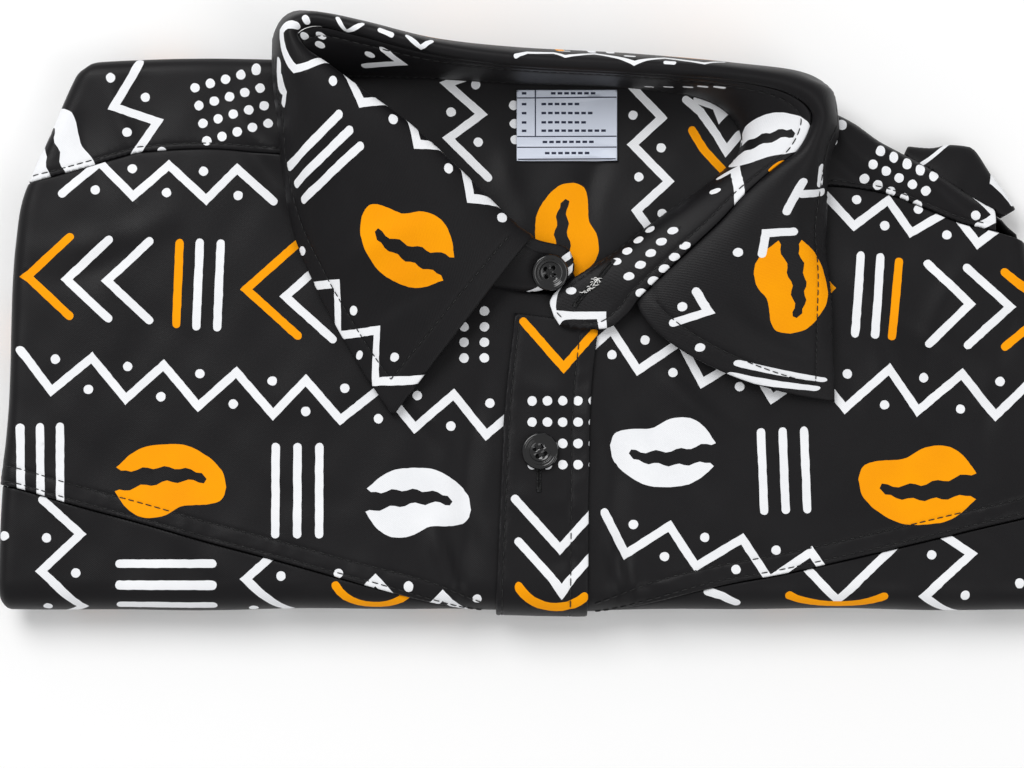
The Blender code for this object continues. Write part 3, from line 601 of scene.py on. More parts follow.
def cotton(name, light, dark, roughness, gloss, sheen, bump, spread=26.0):
    """Woven cotton: two close tones in slow patches, a twill of yarns in the bump, and a sheen."""
    material = bpy.data.materials.new(name)
    material.use_nodes = True
    tree = material.node_tree
    shader = tree.nodes["Principled BSDF"]
    place = add_node(tree, "UVMap", {"uv_map": "cloth"})
    cloud = add_node(tree, "TexNoise", None, {"Vector": place.outputs[0], "Scale": 1 / (spread * MM),
                                              "Detail": 4.0, "Roughness": 0.55})
    turned = add_node(tree, "Mapping", None, {"Vector": place.outputs[0],
                                              "Rotation": (0, 0, ANGLE_OF_TWILL)})
    twill = add_node(tree, "TexWave", {"bands_direction": "Y"},
                     {"Vector": turned.outputs[0], "Scale": 0.31416 / YARN, "Distortion": 2.6,
                      "Detail": 2.0, "Detail Scale": 3.0})
    slub = add_node(tree, "TexNoise", None, {"Vector": place.outputs[0], "Scale": 1 / (1.1 * MM),
                                             "Detail": 3.0})
    mixed = add_node(tree, "Math", {"operation": "MULTIPLY_ADD"},
                     {0: twill.outputs["Fac"], 1: 0.35, 2: cloud.outputs["Fac"]})
    tones = add_node(tree, "MixRGB", None, {"Fac": mixed.outputs[0], "Color1": dark, "Color2": light})
    tree.links.new(tones.outputs[0], shader.inputs["Base Color"])
    relief = add_node(tree, "Math", {"operation": "MULTIPLY_ADD"},
                      {0: slub.outputs["Fac"], 1: 0.8, 2: twill.outputs["Fac"]})
    raised = add_node(tree, "Bump", None, {"Height": relief.outputs[0], "Strength": bump,
                                           "Distance": 0.06 * MM})
    tree.links.new(raised.outputs[0], shader.inputs["Normal"])
    patch = add_node(tree, "MapRange", None, {"Value": cloud.outputs["Fac"], "From Min": 0.3,
                                              "From Max": 0.7, "To Min": roughness - 0.06,
                                              "To Max": roughness + 0.06})
    tree.links.new(patch.outputs[0], shader.inputs["Roughness"])
    shader.inputs["IOR"].default_value = 1.46
    shader.inputs["Specular IOR Level"].default_value = gloss
    shader.inputs["Sheen Weight"].default_value = sheen
    shader.inputs["Sheen Roughness"].default_value = 0.45
    return material


sateen = cotton("black_dyed_cotton_sateen", linear("#161517"), linear("#0e0d0f"), 0.44, 0.20, 0.012, 0.5)
white_ink = cotton("white_pigment_print_on_cotton", linear("#f7f8fa"), linear("#d9dbe0"), 0.72, 0.3, 0.0, 0.4)
orange_ink = cotton("orange_pigment_print_on_cotton", linear("#ffa600"), linear("#ee8f00"), 0.72, 0.12, 0.0, 0.35)
reverse = cotton("reverse_of_black_cotton", linear("#1c1b1d"), linear("#131214"), 0.8, 0.2, 0.02, 0.5)
INKS = {"cloth": 0, "white": 1, "orange": 2}
REVERSE = 3
CLOTH_MATERIALS = (sateen, white_ink, orange_ink, reverse)
print("cloth materials:", ", ".join(m.name for m in CLOTH_MATERIALS))


# %% Make a piece of cloth
def add_mesh(name, points, faces, uv=None, marks=None, materials=()):
    """A mesh object in metres, with its flat-cloth map and the material of each face."""
    mesh = bpy.data.meshes.new(name)
    mesh.from_pydata([tuple(float(v) * MM for v in p) for p in points], [], faces)
    if uv is not None:
        layer = mesh.uv_layers.new(name="cloth")
        corners = np.zeros(len(mesh.loops), dtype=np.int32)
        mesh.loops.foreach_get("vertex_index", corners)
        layer.data.foreach_set("uv", (np.asarray(uv)[corners] * MM).astype(np.float32).ravel())
    for material in materials:
        mesh.materials.append(material)
    if marks is not None:
        mesh.polygons.foreach_set("material_index", np.asarray(marks, dtype=np.int32))
    mesh.update()
    mesh.shade_smooth()
    made = bpy.data.objects.new(name, mesh)
    bpy.context.scene.collection.objects.link(made)
    PIECES[name] = made
    return made


def sew_in(piece, slot, *nodes):
    """Every piece rides on the shirt's one body and may stand for solids; the finish given as slot is not used."""
    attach(piece, "root")
    if nodes:
        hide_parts(*nodes)


def add_cloth(name, x, y, place, middle, printed=(), half=HALF_CLOTH, round_over=0.8, extra=(),
              slot="printed_cotton", nodes=(), rests_on=(), materials=CLOTH_MATERIALS, plies=1):
    """A piece of cloth: cut flat, laid by place(x, y, out) round its middle surface, and closed.
    With two plies its inner face is printed cloth too."""
    flat, triangles, inks, ring = cut_flat(x, y, printed, extra)
    depth = edge_distance(flat, ring)
    on_rim = depth < 1e-3
    bulge = half * np.sqrt(1 - (1 - np.clip(depth / round_over, 0, 1)) ** 2)
    centre = middle(flat[:, 0], flat[:, 1])
    outer = place(flat[:, 0], flat[:, 1], centre + bulge)
    inner = place(flat[:, 0], flat[:, 1], centre - bulge)
    below = np.where(on_rim, np.arange(len(flat)), 0)
    below[~on_rim] = len(flat) + np.arange((~on_rim).sum())
    points = np.concatenate([outer, inner[~on_rim]])
    uv = np.concatenate([flat, flat[~on_rim]])
    faces = triangles + [tuple(int(below[v]) for v in reversed(t)) for t in triangles]
    a, b, c = triangles[len(triangles) // 2]
    if np.cross(outer[b] - outer[a], outer[c] - outer[a]) @ (outer[a] - inner[a]) < 0:
        faces = [tuple(reversed(f)) for f in faces]
    shown = [INKS[ink] for ink in inks]
    marks = shown + (shown if plies == 2 else [REVERSE] * len(triangles))
    piece = add_mesh(name, points, faces, uv, marks, materials)
    sew_in(piece, slot, *nodes)
    area = abs(signed_area(ring))
    return piece


# %% [markdown]
# ## The grid on a panel
# Points are set evenly over each panel between its side lines and its seams, and closer together where
# the cloth turns round an edge of the packet.

# %% Points over a panel
def spread(count, start, end, near, far, near_count, far_count):
    """Marks from start to end, some kept for the turned stretches before near and after far."""
    parts = [np.linspace(0, 1, near_count, endpoint=False)] if near_count else []
    marks = [start + (near - start) * t for p in parts for t in p]
    middle = count - near_count - far_count
    marks += [near + (far - near) * t for t in np.linspace(0, 1, middle)]
    marks += [far + (end - far) * (t + 1) / far_count for t in range(far_count)]
    return marks


def flat_grid(columns, rows, x_ends, y_ends, turned=(0, 0, 0, 0)):
    """Flat points between two side lines and two end lines. turned gives the marks kept for
    the left, right, bottom and top edges of the packet, where the cloth turns."""
    x, y = np.zeros((columns, rows)), np.zeros((columns, rows))
    reach = WRAP_END * EDGE_ROUND
    for _ in range(4):
        left = left_side(y) + EDGE_ROUND if turned[0] else x_ends[0](y)
        right = right_side(y) - EDGE_ROUND if turned[1] else x_ends[1](y)
        start = left - reach if turned[0] else left
        end = right + reach if turned[1] else right
        marks = spread(columns, start, end, left, right, turned[0], turned[1])
        x = np.stack([marks[i][i] for i in range(columns)])
        shoulder = BOTTOM_FOLD + FOLD_ROUND
        if turned[2] and y_ends[0]:
            bottom = y_ends[0](x)
            low = np.maximum(shoulder, bottom + WRAP_ROWS_ROOM)
        elif turned[2]:
            low = shoulder + 0 * x
            bottom = low - WRAP_END * FOLD_ROUND
        else:
            low = bottom = y_ends[0](x)
        high = top = y_ends[1](x) if y_ends[1] else None
        if turned[3]:
            high = shoulder_line(x) - EDGE_ROUND
            top = high + reach
        if turned[2]:
            low = np.minimum(low, bottom + (top - bottom) * turned[2] / (rows - 1))
        marks = spread(rows, bottom, top, low, high, turned[2], turned[3])
        y = np.stack([marks[j][:, j] for j in range(rows)], axis=1)
    return x, y


def constant(value):
    return lambda at: value + 0 * at


def row_by(line, x_start, x_end, offset):
    """A row of stitches beside a seam line, from one x to another."""
    x = np.linspace(x_start, x_end, 200)
    return np.stack([x, line(x) + offset], axis=1)


def row_down(line, y_start, y_end, offset):
    y = np.linspace(y_start, y_end, 120)
    return np.stack([line(y) + offset, y], axis=1)


def grooves(*rows):
    """Points beside rows of stitches, close enough to draw the groove that each row pulls in."""
    made = []
    for row in rows:
        walked = np.concatenate([[0], np.cumsum(np.hypot(*np.diff(row, axis=0).T))])
        at = np.arange(0.5, walked[-1], 1.25)
        points = np.stack([np.interp(at, walked, row[:, k]) for k in range(2)], axis=1)
        way = np.gradient(points, axis=0)
        way /= np.linalg.norm(way, axis=1)[:, None]
        side = np.stack([-way[:, 1], way[:, 0]], axis=1)
        made += [points + side * shift for shift in (-1.0, -0.5, 0.0, 0.5, 1.0)]
    return np.concatenate(made)


# %% [markdown]
# ## The fronts
# Each front is in two panels, joined by a chest seam: the upper one laps over the lower and lies a
# little higher on the seam allowance. Under the button placket both are flat.

# %% Two fronts in four panels
seam_right, seam_left = table_line(CHEST_SEAM_RIGHT), table_line(CHEST_SEAM_LEFT)
top_right, top_left = table_line(FRONT_RIGHT_TOP), table_line(FRONT_LEFT_TOP)
WRAP_LOW = BOTTOM_FOLD + FOLD_ROUND - WRAP_END * FOLD_ROUND
HALF_GAP = GAP / 2
MIDDLE = GAP + CLOTH - HALF_CLOTH         # the drawn cloth's middle, its face at the solid's face
STEP = 1.9                                # spacing of points on a panel
CHEST_ROWS, SHOULDER_ROW = (1.75, 6.95), 2.15


def over_seam(seam):
    """The middle of an upper panel: it rises along its seam, but not under the placket."""
    def out(x, y):
        clear = np.clip((abs(x) - 22) / 20, 0, 1)
        near = y - seam(x)
        stitched = sum(0.32 * np.exp(-((near - row) / 0.55) ** 2) for row in CHEST_ROWS)
        puff = 0.16 * np.exp(-((near - 4.2) / 1.6) ** 2) * np.sin(x * 0.75 + np.sin(x * 0.21) * 2)
        return MIDDLE + clear * (SEAM_RISE * np.exp(-(near / 9.0) ** 2) - stitched + puff)
    return out


def count(length):
    return int(round(length / STEP))


panel_flat = flat_grid(count(205), count(112), (None, constant(FRONT_MEETING - HALF_GAP)),
                       (lambda x: np.maximum(seam_right(x) + HALF_GAP, WRAP_LOW), top_right), (5, 0, 8, 0))
add_cloth("front_right_cloth", *panel_flat, lay, over_seam(seam_right), chart(FRONT_RIGHT_PRINT),
          nodes=["front_right"], rests_on=["folded_layers"],
          extra=grooves(*(row_by(seam_right, -184, -17, row) for row in CHEST_ROWS)))
panel_flat = flat_grid(count(175), count(108), (constant(FRONT_MEETING + HALF_GAP), None),
                       (lambda x: np.maximum(seam_left(x) + HALF_GAP, WRAP_LOW), top_left), (0, 5, 8, 0))
add_cloth("front_left_cloth", *panel_flat, lay, over_seam(seam_left), chart(FRONT_LEFT_PRINT),
          nodes=["front_left"], rests_on=["folded_layers"],
          extra=grooves(*(row_by(seam_left, 18, 178, row) for row in CHEST_ROWS)))


def under_seam(x, y):
    return MIDDLE - 0.25 + 0 * x


panel_flat = flat_grid(count(180), 34, (None, constant(-20.0)),
                       (None, lambda x: seam_right(x) - HALF_GAP), (5, 0, 10, 0))
add_cloth("front_right_lower_cloth", *panel_flat, lay, under_seam, chart(FRONT_RIGHT_LOWER_PRINT),
          nodes=["front_right_lower"], rests_on=["folded_layers"])
panel_flat = flat_grid(count(170), 34, (constant(21.0), None),
                       (None, lambda x: seam_left(x) - HALF_GAP), (0, 5, 10, 0))
add_cloth("front_left_lower_cloth", *panel_flat, lay, under_seam, chart(FRONT_LEFT_LOWER_PRINT),
          nodes=["front_left_lower"], rests_on=["folded_layers"])

# %% [markdown]
# ## Placket, yokes and the inside of the back
# The placket is a folded strip, stitched down both its long edges. The yokes cross the shoulders and
# turn over the back edge of the packet. Inside the neck the reverse of the back shows.

# %% Placket
PLACKET_LIFT = GAP + CLOTH + 2 * GAP
placket_left, placket_right = table_line(PLACKET_LEFT), table_line(PLACKET_RIGHT)
placket_top = table_line(PLACKET_TOP)


def placket_middle(x, y):
    from_left, from_right = x - placket_left(y), placket_right(y) - x
    groove = 0.32 * (np.exp(-((from_left - 2.0) / 0.55) ** 2) + np.exp(-((from_right - 6.0) / 0.55) ** 2))
    puff = 0.13 * np.sin(y * 0.8 + np.sin(y * 0.23)) * (np.exp(-((from_left - 1) / 1.6) ** 2)
                                                        + np.exp(-((from_right - 3) / 2.4) ** 2))
    return PLACKET_LIFT + CLOTH - 0.55 - groove + puff


panel_flat = flat_grid(20, 72, (placket_left, placket_right), (None, placket_top), (0, 0, 10, 0))
placket_rows = (row_down(placket_left, -108, -3, 2.0), row_down(placket_right, -108, -6, -6.0))
add_cloth("placket_cloth", *panel_flat, lay, placket_middle, chart(PLACKET_PRINT), half=0.55,
          nodes=["placket"], rests_on=["front_right_cloth", "front_left_cloth"], extra=grooves(*placket_rows))


# %% Yokes and back
def beside_seam(seam, away):
    """A panel that dips into its seam."""
    def out(x, y):
        near = away * (y - seam(x))
        return MIDDLE - 0.35 * np.exp(-(near / 0.9) ** 2) - 0.32 * np.exp(-((near - SHOULDER_ROW) / 0.55) ** 2)
    return out


panel_flat = flat_grid(count(98), 24, (None, constant(YOKE_RIGHT_INNER - GAP)),
                       (lambda x: top_right(x) + HALF_GAP, None), (5, 0, 0, 6))
add_cloth("yoke_right_cloth", *panel_flat, lay, beside_seam(top_right, 1), chart(YOKE_RIGHT_PRINT),
          nodes=["yoke_right"], rests_on=["folded_layers"],
          extra=grooves(row_by(top_right, -176, -86, SHOULDER_ROW)))
panel_flat = flat_grid(count(82), 24, (constant(YOKE_LEFT_INNER + GAP), constant(YOKE_LEFT_OUTER)),
                       (lambda x: top_left(x) + GAP, None), (0, 0, 0, 6))
add_cloth("yoke_left_cloth", *panel_flat, lay, beside_seam(top_left, 1), chart(YOKE_LEFT_PRINT),
          nodes=["yoke_left"], rests_on=["folded_layers"],
          extra=grooves(row_by(top_left, 78, 155, SHOULDER_ROW)))


def neckline(x):
    return np.where(x < FRONT_MEETING, top_right(x), top_left(x)) + 1.2


panel_flat = flat_grid(count(160), 44, (constant(YOKE_RIGHT_INNER), constant(YOKE_LEFT_INNER)),
                       (neckline, None), (0, 0, 0, 6))
add_cloth("back_inside_cloth", *panel_flat, lay, lambda x, y: MIDDLE + 0 * x, chart(BACK_PRINT),
          nodes=["back_inside"], rests_on=["folded_layers"])

# %% [markdown]
# ## The collar
# A shirt collar is a stand, a band that goes round the neck, and a leaf that turns down over it. Both
# are two plies fused to a stiff interlining, so they hold a smooth curve. Here each is drawn as cross
# sections from table rows, joined into one surface that is measured along and across in millimetres.

# %% Collar tables
STAND = ("base_x base_y over_z lift_z top_x top_y top_z", [
    (10.6, 11.0, 2.6, 24.9, 11.2, 16.6, 25.4), (7.2, 8.8, 2.6, 25.1, 8.6, 20.6, 26.4),
    (-4.0, 5.8, 1.5, 25.6, -2.4, 23.4, 28.6), (-15.5, 7.2, 1.5, 26.0, -11.4, 29.8, 31.6),
    (-36.0, 22.0, 1.2, 27.5, -27.4, 44.8, 36.0), (-58.0, 41.5, 1.2, 29.0, -45.0, 60.4, 39.4),
    (-76.0, 60.0, 1.2, 31.0, -62.6, 73.0, 41.0), (-81.5, 68.0, 1.2, 32.0, -73.0, 80.6, 42.0),
    (-82.5, 74.0, 1.2, 33.0, -80.0, 85.4, 42.5), (-79.0, 79.4, 1.2, 33.5, -83.0, 90.6, 43.0),
    (-69.0, 80.6, 1.2, 34.0, -76.5, 94.0, 43.5), (-57.0, 80.6, 1.2, 34.0, -62.0, 90.8, 44.6),
    (-36.0, 80.0, 1.2, 34.0, -36.0, 84.0, 45.5), (-8.0, 78.6, 1.2, 34.0, -8.0, 80.0, 46.0),
    (28.0, 77.2, 1.2, 34.0, 28.0, 78.0, 45.5), (54.0, 73.4, 1.2, 34.0, 60.0, 76.0, 44.0),
    (66.0, 66.5, 1.2, 34.0, 83.0, 71.8, 41.0), (69.6, 58.4, 1.2, 34.0, 92.0, 63.6, 38.0),
    (67.4, 51.4, 1.2, 34.5, 88.0, 53.4, 36.0), (60.8, 45.2, 1.2, 34.5, 79.0, 46.2, 35.6),
    (53.0, 39.2, 1.2, 34.0, 69.6, 38.0, 35.0), (44.5, 33.2, 1.2, 33.0, 61.0, 28.8, 34.0),
    (36.2, 27.2, 1.4, 31.5, 52.2, 20.6, 32.6), (26.0, 19.2, 1.8, 29.5, 42.4, 11.6, 30.4),
    (17.4, 13.8, 2.4, 27.6, 34.0, 3.4, 28.2), (9.8, 9.0, 3.0, 26.0, 29.6, -2.2, 26.6),
    (4.2, 4.4, 3.1, 25.2, 22.0, -7.4, 25.7), (2.9, 1.2, 3.2, 24.6, 12.0, -7.8, 25.4),
    (3.8, -2.2, 3.3, 24.0, 6.4, -6.4, 25.2)])
LEAF = ("stand edge_x edge_y edge_z roll fall_share fall_z bow", [
    (2.0, -50.8, -37.4, 24.3, 4.6, 0.40, 2.6, 0.0), (2.6, -55.6, -30.4, 24.3, 5.0, 0.40, 2.8, 0.0),
    (3.3, -61.0, -22.4, 24.3, 5.2, 0.40, 3.0, 0.0), (4.0, -67.0, -12.4, 24.3, 5.6, 0.40, 3.2, 0.0),
    (5.0, -77.0, 6.2, 24.4, 5.8, 0.42, 3.4, 0.0), (6.0, -84.8, 25.0, 24.5, 5.8, 0.45, 3.6, 0.0),
    (7.0, -88.6, 44.0, 24.8, 5.6, 0.50, 3.6, 0.0), (7.6, -90.6, 62.0, 25.2, 5.4, 0.60, 3.6, 0.0),
    (8.1, -92.0, 78.0, 25.8, 5.2, 0.70, 3.4, 0.0), (8.6, -92.6, 91.0, 21.0, 5.0, 0.80, 3.4, 0.0),
    (9.2, -89.6, 98.6, 15.0, 5.0, 0.85, 3.6, 0.0), (10.0, -79.0, 101.6, 11.0, 5.2, 0.88, 3.8, 0.0),
    (11.0, -60.0, 98.0, 9.6, 5.4, 0.90, 3.8, 0.0), (12.0, -37.0, 92.6, 9.0, 5.4, 0.90, 3.8, 0.0),
    (13.0, -8.0, 89.8, 8.0, 5.6, 0.90, 3.8, 0.0), (14.0, 30.0, 87.8, 8.0, 5.6, 0.90, 3.8, 0.0),
    (15.0, 66.0, 84.4, 8.5, 5.4, 0.90, 3.6, 0.0), (15.8, 91.0, 81.4, 12.0, 5.0, 0.88, 3.2, 0.0),
    (16.4, 101.6, 74.6, 20.0, 4.4, 0.80, 2.8, 0.0), (17.0, 101.8, 64.0, 25.4, 3.8, 0.66, 2.4, 0.0),
    (17.6, 99.2, 53.0, 25.8, 3.4, 0.55, 2.4, 0.0), (18.4, 98.2, 40.0, 25.6, 3.4, 0.50, 2.4, 0.0),
    (19.3, 98.2, 27.0, 25.2, 3.4, 0.48, 2.2, 0.0), (20.3, 98.8, 12.0, 24.8, 3.4, 0.46, 2.0, 1.2),
    (21.3, 99.6, -3.0, 24.6, 3.2, 0.45, 1.8, 3.4), (22.3, 100.2, -16.0, 24.5, 2.8, 0.44, 1.6, 7.0),
    (23.3, 100.5, -25.0, 24.4, 2.4, 0.42, 1.4, 11.4), (24.3, 100.6, -32.4, 24.4, 2.0, 0.40, 1.2, 15.6)])
COLLAR_CLOTH = 1.4


# %% Surfaces of the collar
def lines_of(table):
    sections = rows_of(table)
    knots = np.arange(len(sections))
    return {name: smooth_line(knots, [s[name] for s in sections]) for name in sections[0]}


stand_lines, leaf_lines = lines_of(STAND), lines_of(LEAF)


def stand_ends(t):
    """The foot, the pull and the top of the stand's sections, which bend between them."""
    s = {name: line(t) for name, line in stand_lines.items()}
    foot_z = lay(s["base_x"], s["base_y"], GAP + CLOTH)[..., 2] + s["over_z"]
    foot = np.stack([s["base_x"], s["base_y"], foot_z], axis=-1)
    pull = np.stack([s["base_x"], s["base_y"], np.maximum(s["lift_z"], foot_z)], axis=-1)
    return foot, pull, np.stack([s["top_x"], s["top_y"], s["top_z"]], axis=-1)


def stand_sections(t, share):
    foot, pull, top = (v[:, None, :] for v in stand_ends(t))
    s = share[None, :, None]
    return (1 - s)**2 * foot + 2 * s * (1 - s) * pull + s**2 * top


def leaf_sections(t, share, from_stand=0.4):
    s = {name: line(t) for name, line in leaf_lines.items()}
    foot, pull, top = stand_ends(s["stand"])
    edge = np.stack([s["edge_x"], s["edge_y"], s["edge_z"]], axis=-1)
    rising = top - pull
    rising /= np.linalg.norm(rising, axis=-1, keepdims=True)
    seam = top + rising * 4 * GAP + np.array([0, 0, GAP])
    start = top + (seam - top) * from_stand
    first = seam + rising * s["roll"][:, None] * 0.3
    first[:, 2] += s["roll"] * 0.9
    first[:, 1] -= s["bow"] * 0.6
    second = seam + (edge - seam) * s["fall_share"][:, None]
    second[:, 2] = seam[:, 2] + s["fall_z"] + 2.0
    second[:, 1] -= s["bow"]
    start, first, second, edge = (v[:, None, :] for v in (start, first, second, edge))
    u = share[None, :, None]
    return (1 - u)**3 * start + 3 * u * (1 - u)**2 * first + 3 * u**2 * (1 - u) * second + u**3 * edge


def even_sections(points, across):
    """Each section with its points at even distances, and the length of each."""
    even, lengths = [], []
    for section in points:
        walked = np.concatenate([[0], np.cumsum(np.linalg.norm(np.diff(section, axis=0), axis=1))])
        marks = np.linspace(0, walked[-1], across)
        even.append(np.stack([np.interp(marks, walked, section[:, k]) for k in range(3)], axis=1))
        lengths.append(walked[-1])
    return np.array(even), np.array(lengths)


def drawn_surface(points, outward, measured_at=0.5, across=41, table=None):
    """A surface through sections: place(a, b, out), and its flat grid maker."""
    even, lengths = even_sections(points, across)
    row = int(measured_at * (across - 1))
    walked = np.linalg.norm(np.diff(even[:, row], axis=0), axis=1)
    along = np.concatenate([[0], np.cumsum(walked)])
    b = np.linspace(0, 1, across)[None, :] * lengths[:, None]
    a = along[:, None] + 0 * b
    normals = np.cross(np.gradient(even, axis=0), np.gradient(even, axis=1))
    normals *= outward / np.linalg.norm(normals, axis=-1, keepdims=True)
    if table:
        even = even + normals * crease_height(a, b, rows_of(table))[..., None]
        normals = np.cross(np.gradient(even, axis=0), np.gradient(even, axis=1))
        normals *= outward / np.linalg.norm(normals, axis=-1, keepdims=True)

    def place(at_a, at_b, out):
        i = np.clip(np.interp(at_a, along, np.arange(len(along))), 0, len(along) - 1.001)
        length = np.interp(at_a, along, lengths)
        k = np.clip(at_b / length, 0, 1) * (across - 1.001)
        i0, k0 = i.astype(int), k.astype(int)
        fi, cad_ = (i - i0)[:, None], (k - k0)[:, None]

        def blend(grid):
            return ((1 - fi) * ((1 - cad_) * grid[i0, k0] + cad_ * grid[i0, k0 + 1])
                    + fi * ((1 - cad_) * grid[i0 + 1, k0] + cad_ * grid[i0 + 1, k0 + 1]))
        return blend(even) + blend(normals) * np.asarray(out)[:, None]

    def grid(columns, rows):
        at = np.linspace(0, along[-1], columns)
        length = np.interp(at, along, lengths)
        return at[:, None] + np.zeros((1, rows)), np.linspace(0, 1, rows)[None, :] * length[:, None]
    return place, grid, along, lengths


# %% Stand
# The stand's print runs along it from the tab (0 mm) round the neck to the buttonhole end (387 mm).
STAND_PRINT = """
white dots 339 5.6 4 1 5.5 5
white dots 336.5 12.8 5 1 5.4 5
white dots 340 20 5 1 5.2 5
white line 374 -1 386.5 2.4 375 17.4 379.5 21.6
white dot 373 3.6
white cowrie 292 15 31 92
white line 309 8.6 304.6 11.2 316.6 21.4 321 24.8
white dot 317 13.4
white thin 240 7 242 7.4
white thin 246.4 10 248.4 10.6
white thin 252.6 13 254.6 13.6
white thin 256.6 16 258.6 16.4
white thin 261 18 263 18.4
orange line 303 25.8 306 25.4
white dot 126 24 132 24 130 20 146 18
white line 151.5 22 156 15.5 142.5 11
white line 3.4 8.6 -2 9
white line 15 -.6 7 2.2 -1 3.4
white zigzag 60 4 92 6 5 11
"""
stand_t = np.linspace(0, len(STAND[1]) - 1, 700)
stand_place, stand_grid, stand_along, stand_lengths = drawn_surface(
    stand_sections(stand_t, np.linspace(0, 1, 33)), 1.0)
print(f"collar stand: {stand_along[-1]:.0f} mm long, {stand_lengths.min():.0f} to {stand_lengths.max():.0f} mm high")
stand_flat = stand_grid(int(stand_along[-1] / 1.6), 16)
stand_end = stand_along[-1]
TOP_ROW, FOOT_ROW, END_ROW = 3.6, 2.0, 2.0


def stand_high(a):
    return np.interp(a, stand_along, stand_lengths)


def dip(distance):
    """The groove of one row of stitches."""
    return 0.3 * np.exp(-(distance / 0.55) ** 2)


def stand_middle(a, b):
    return -dip(stand_high(a) - b - TOP_ROW) - dip(b - FOOT_ROW) * (a > 10)


a = np.linspace(6, stand_end - 5, 400)
inner = np.linspace(12, stand_end - 14, 400)
b = np.linspace(3, stand_high(stand_end - END_ROW) - TOP_ROW, 30)
stand_rows = (np.stack([a, stand_high(a) - TOP_ROW], axis=1), np.stack([inner, FOOT_ROW + 0 * inner], axis=1),
              np.stack([stand_end - END_ROW + 0 * b, b], axis=1))
add_cloth("collar_stand_cloth", *stand_flat, stand_place, stand_middle, chart(STAND_PRINT), half=0.62,
          extra=grooves(*stand_rows[:2]), plies=2, slot="collar_cotton", nodes=["collar_stand"],
          rests_on=["back_inside_cloth"])

# %% Leaf
LEAF_CREASES = ("x1 y1 x2 y2 wide tall", [
    (30, 20, 50, 60, 5.0, 0.6), (120, 12, 128, 40, 4.0, 0.6), (132, 10, 140, 34, 3.0, -0.5),
    (84, 24, 60, 58, 4.4, 0.55), (12, 30, 30, 66, 4.6, -0.5), (98, 14, 92, 40, 3.6, -0.5),
    (300, 10, 306, 36, 4.0, -0.6), (316, 8, 322, 40, 4.0, 0.6), (350, 20, 372, 60, 5.0, 0.5),
    (388, 18, 392, 62, 5.0, -0.5), (340, 16, 356, 46, 4.4, -0.5)])
# The leaf's print runs along it from the wearer's right point (0 mm) to the left one (410 mm).
LEAF_PRINT = """
white line 121 3 114.6 8.6 100 10 86 -3 71.6 6.2 60 -4 49 5.8 37 -4 24.5 6.4 12 -4
white dot 84 6 60 4.4 36 4.4 13 3.4 126 3.4
white thin 103 17 99.6 20 98.4 26
white thin 139 5 143 1.2 148 5
white thin 154 4.8 158 4.4
white thin 163 5.4 167.4 3 171 6
white bars 76.5 30 30 69 3 6.2
orange cowrie 34 33.5 38 14
white zigzag 62.5 68 -2 68 6 12.5
white line 106 15 101 22
white dot 68 62
orange cowrie 371 34.5 36 41
white line 354.4 21.4 361 14.4 367.4 18.2
white line 391 12 394 20 404 14.4
white line 331 12 335 16
white line 342.5 13.6 336.4 19.6
white line 339 10.6 350.6 14.6
white dot 372 12 398 12.6 406 27
white bars 405.2 55 28 100 2 5.4
white thin 200 5 204 7 213 8.2 217 6.2 227 9.6 241 5 251 9.6 265 7 271 12
white thin 215 12 218 12.2
white thin 237.6 9.2 240.4 9.2
white thin 251.6 6 254.6 6
orange cowrie 176 27 36 10
orange bars 214 26 26 95 1 6
white bars 228 26 26 95 2 6.4
orange cowrie 262 27 36 184
white zigzag 284 28 326 32 4 13
white zigzag 112 34 148 30 4 12
"""
leaf_t = np.linspace(0, len(LEAF[1]) - 1, 700)
leaf_place, leaf_grid, leaf_along, leaf_lengths = drawn_surface(
    leaf_sections(leaf_t, np.linspace(0, 1, 60)), 1.0, 0.3, table=LEAF_CREASES)
print(f"collar leaf: {leaf_along[-1]:.0f} mm long, {leaf_lengths.min():.0f} to {leaf_lengths.max():.0f} mm deep")
leaf_flat = leaf_grid(int(leaf_along[-1] / 1.8), 34)
leaf_end = leaf_along[-1]
LEAF_ROW = 7.0            # topstitching, in from the leaf's three free edges


def leaf_deep(a):
    return np.interp(a, leaf_along, leaf_lengths)


def leaf_middle(a, b):
    inside = (a > LEAF_ROW - 0.2) & (a < leaf_end - LEAF_ROW + 0.2)
    above = b < leaf_deep(a) - LEAF_ROW + 0.2
    return (-dip(leaf_deep(a) - b - LEAF_ROW) * inside
            - (dip(a - LEAF_ROW) + dip(leaf_end - LEAF_ROW - a)) * above)


across_leaf = np.linspace(LEAF_ROW, leaf_end - LEAF_ROW, 400)
first_b = np.linspace(6, leaf_deep(LEAF_ROW) - LEAF_ROW, 60)
last_b = np.linspace(leaf_deep(leaf_end - LEAF_ROW) - LEAF_ROW, 5, 60)
leaf_row = np.concatenate([np.stack([LEAF_ROW + 0 * first_b, first_b], axis=1),
                           np.stack([across_leaf, leaf_deep(across_leaf) - LEAF_ROW], axis=1)[1:-1],
                           np.stack([leaf_end - LEAF_ROW + 0 * last_b, last_b], axis=1)])
add_cloth("collar_leaf_cloth", *leaf_flat, leaf_place, leaf_middle, chart(LEAF_PRINT), half=0.62,
          extra=grooves(leaf_row), plies=2, slot="collar_cotton", nodes=["collar_leaf"], rests_on=["collar_stand_cloth"])

# %% [markdown]
# ## The care label
# A satin ribbon, woven bluish white with ruled lines and rows of short dark dashes. It is cut along its
# marks as the print is, and lies loosely on the back with one corner a little lifted.

